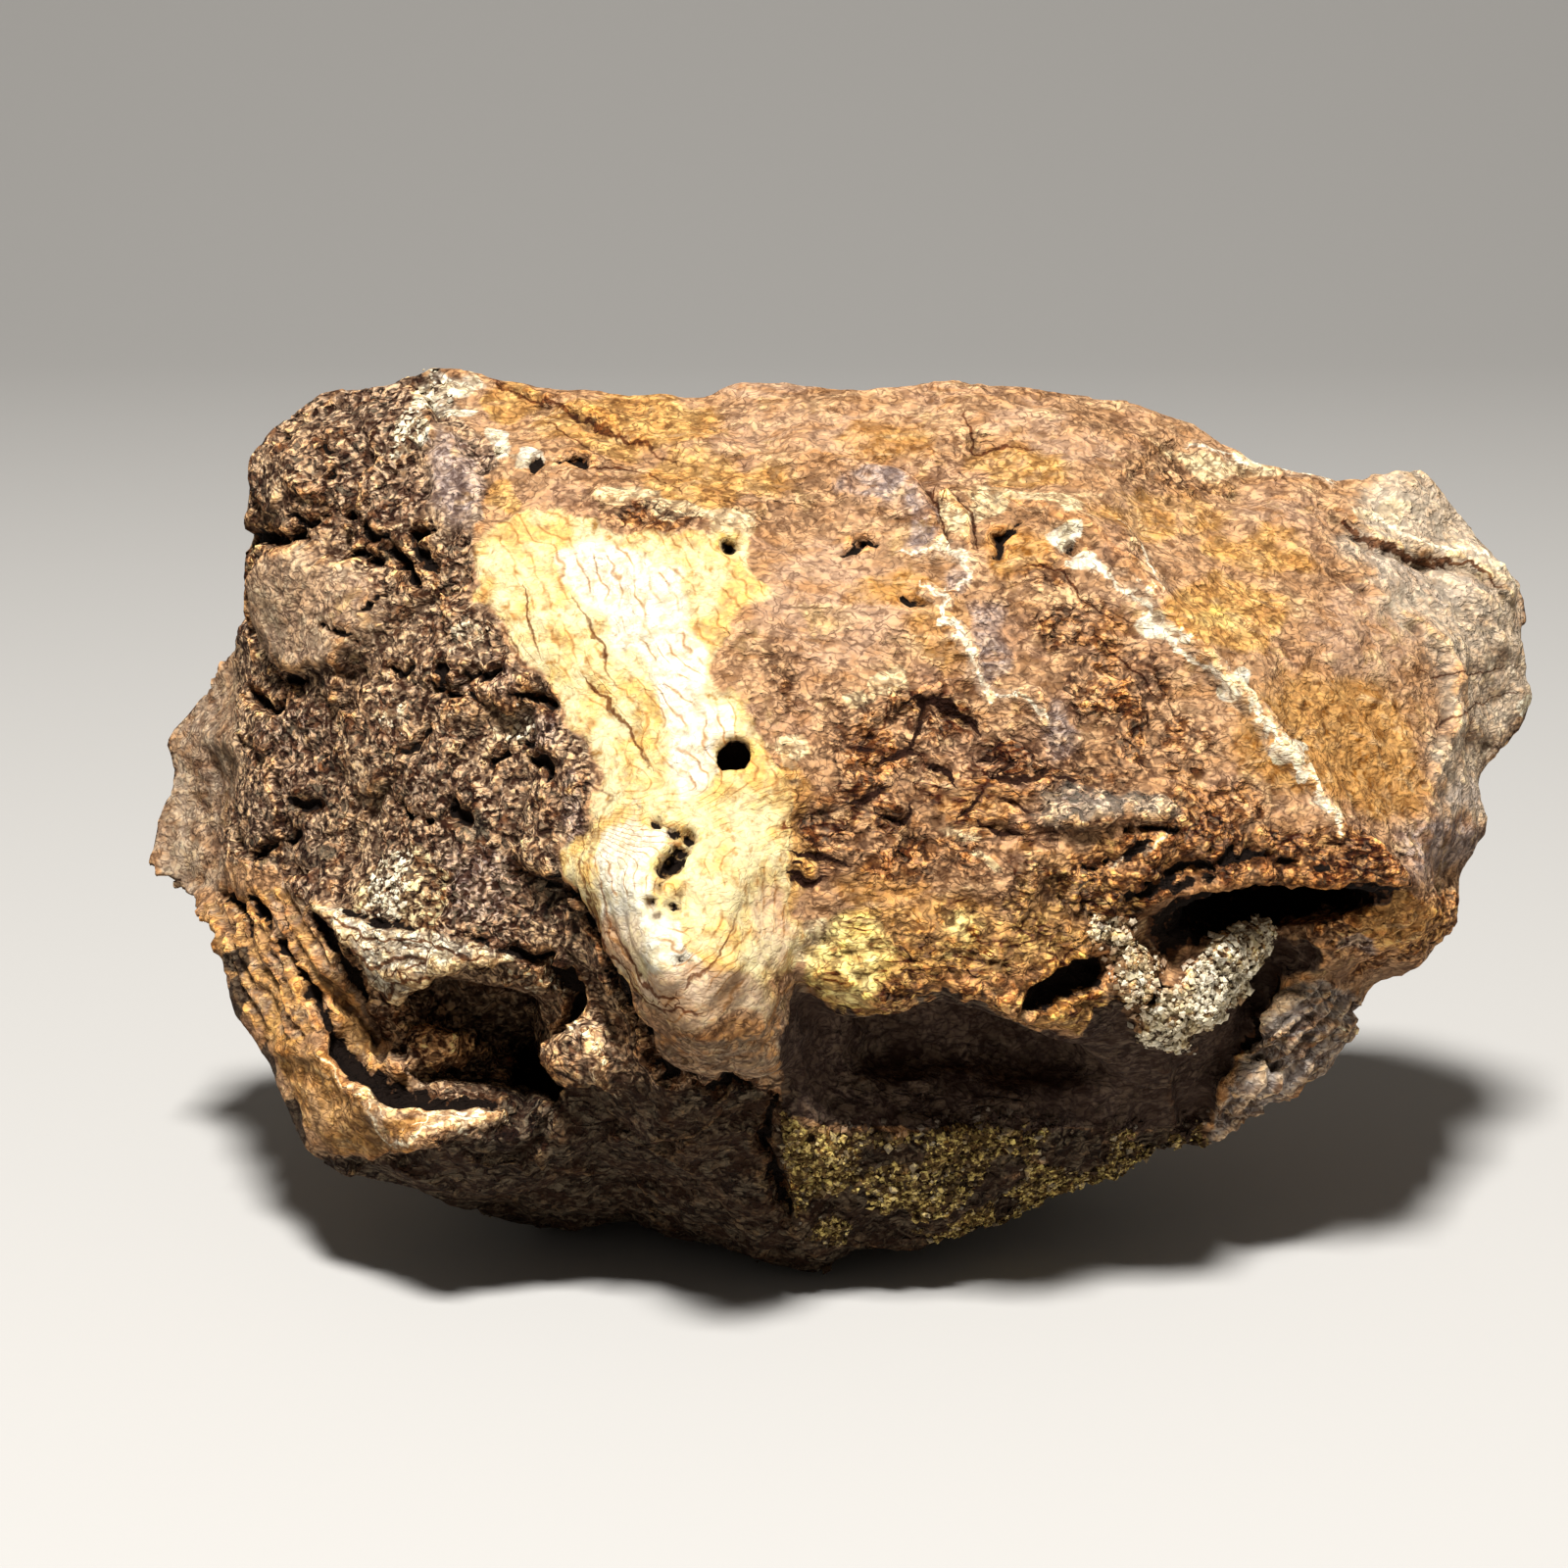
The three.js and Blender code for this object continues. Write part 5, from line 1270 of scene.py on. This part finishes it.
# ---------------------------------------------------------------------------------------------
# Floor, light and camera: a plain pale studio table, one high front light that leaves the
# hollows dark, a little light all round, and the camera a hand's height above the table.
# ---------------------------------------------------------------------------------------------
SWEEP_FRONT = -0.8  # m
SWEEP_BACK = 0.5
SWEEP_ROUND = 0.6
SWEEP_HEIGHT = 1.6
SWEEP_HALF = 1.6
SWEEP_STEPS = 24
sweep = [(SWEEP_FRONT, 0.0), (SWEEP_BACK, 0.0)]
for step in range(1, SWEEP_STEPS + 1):
    turn = math.radians(90) * step / SWEEP_STEPS
    sweep.append((SWEEP_BACK + SWEEP_ROUND * math.sin(turn),
                  SWEEP_ROUND * (1 - math.cos(turn))))
sweep.append((SWEEP_BACK + SWEEP_ROUND, SWEEP_HEIGHT))
rows = [(side, y, z) for y, z in sweep for side in (-SWEEP_HALF, SWEEP_HALF)]
strips = [(2 * i, 2 * i + 1, 2 * i + 3, 2 * i + 2) for i in range(len(sweep) - 1)]
floor_mesh = bpy.data.meshes.new("floor")
floor_mesh.from_pydata(rows, [], strips)
floor_mesh.shade_smooth()
floor = bpy.data.objects.new("floor", floor_mesh)
bpy.context.collection.objects.link(floor)
matt_card = bpy.data.materials.new("matt_pale_card")
matt_card.use_nodes = True
card = matt_card.node_tree.nodes["Principled BSDF"]
card.inputs["Base Color"].default_value = linear("#b4b1ac")
card.inputs["Roughness"].default_value = 0.9
floor_mesh.materials.append(matt_card)

KEY_PLACE = Vector((-0.06, -0.40, 0.80))  # m
KEY_SIZE = 0.14
KEY_WATTS = 16
SKY_STRENGTH = 0.14
LUMP_MIDDLE = Vector((0, 0, 0.03))
softbox = bpy.data.lights.new("key", "AREA")
softbox.size = KEY_SIZE
softbox.energy = KEY_WATTS
key = bpy.data.objects.new("key", softbox)
key.location = KEY_PLACE
key.rotation_euler = (LUMP_MIDDLE - KEY_PLACE).to_track_quat("-Z", "Y").to_euler()
bpy.context.collection.objects.link(key)
sky = bpy.data.worlds.new("studio")
bpy.context.scene.world = sky
sky.use_nodes = True
sky.node_tree.nodes["Background"].inputs["Color"].default_value = linear("#f6efe6")
sky.node_tree.nodes["Background"].inputs["Strength"].default_value = SKY_STRENGTH
bpy.context.scene.view_settings.view_transform = "Standard"

CAMERA_PLACE = (-3.39, -251.5, 97.1)  # mm
CAMERA_TILT = 14.1  # degrees below level
VIEW_ANGLE = 25.0  # degrees across the frame
camera = bpy.data.objects.new("camera", bpy.data.cameras.new("camera"))
camera.data.angle = math.radians(VIEW_ANGLE)
camera.data.clip_start = 0.01
camera.location = [c * MM for c in CAMERA_PLACE]
camera.rotation_euler = (math.radians(90 - CAMERA_TILT), 0, 0)
bpy.context.collection.objects.link(camera)
bpy.context.scene.camera = camera
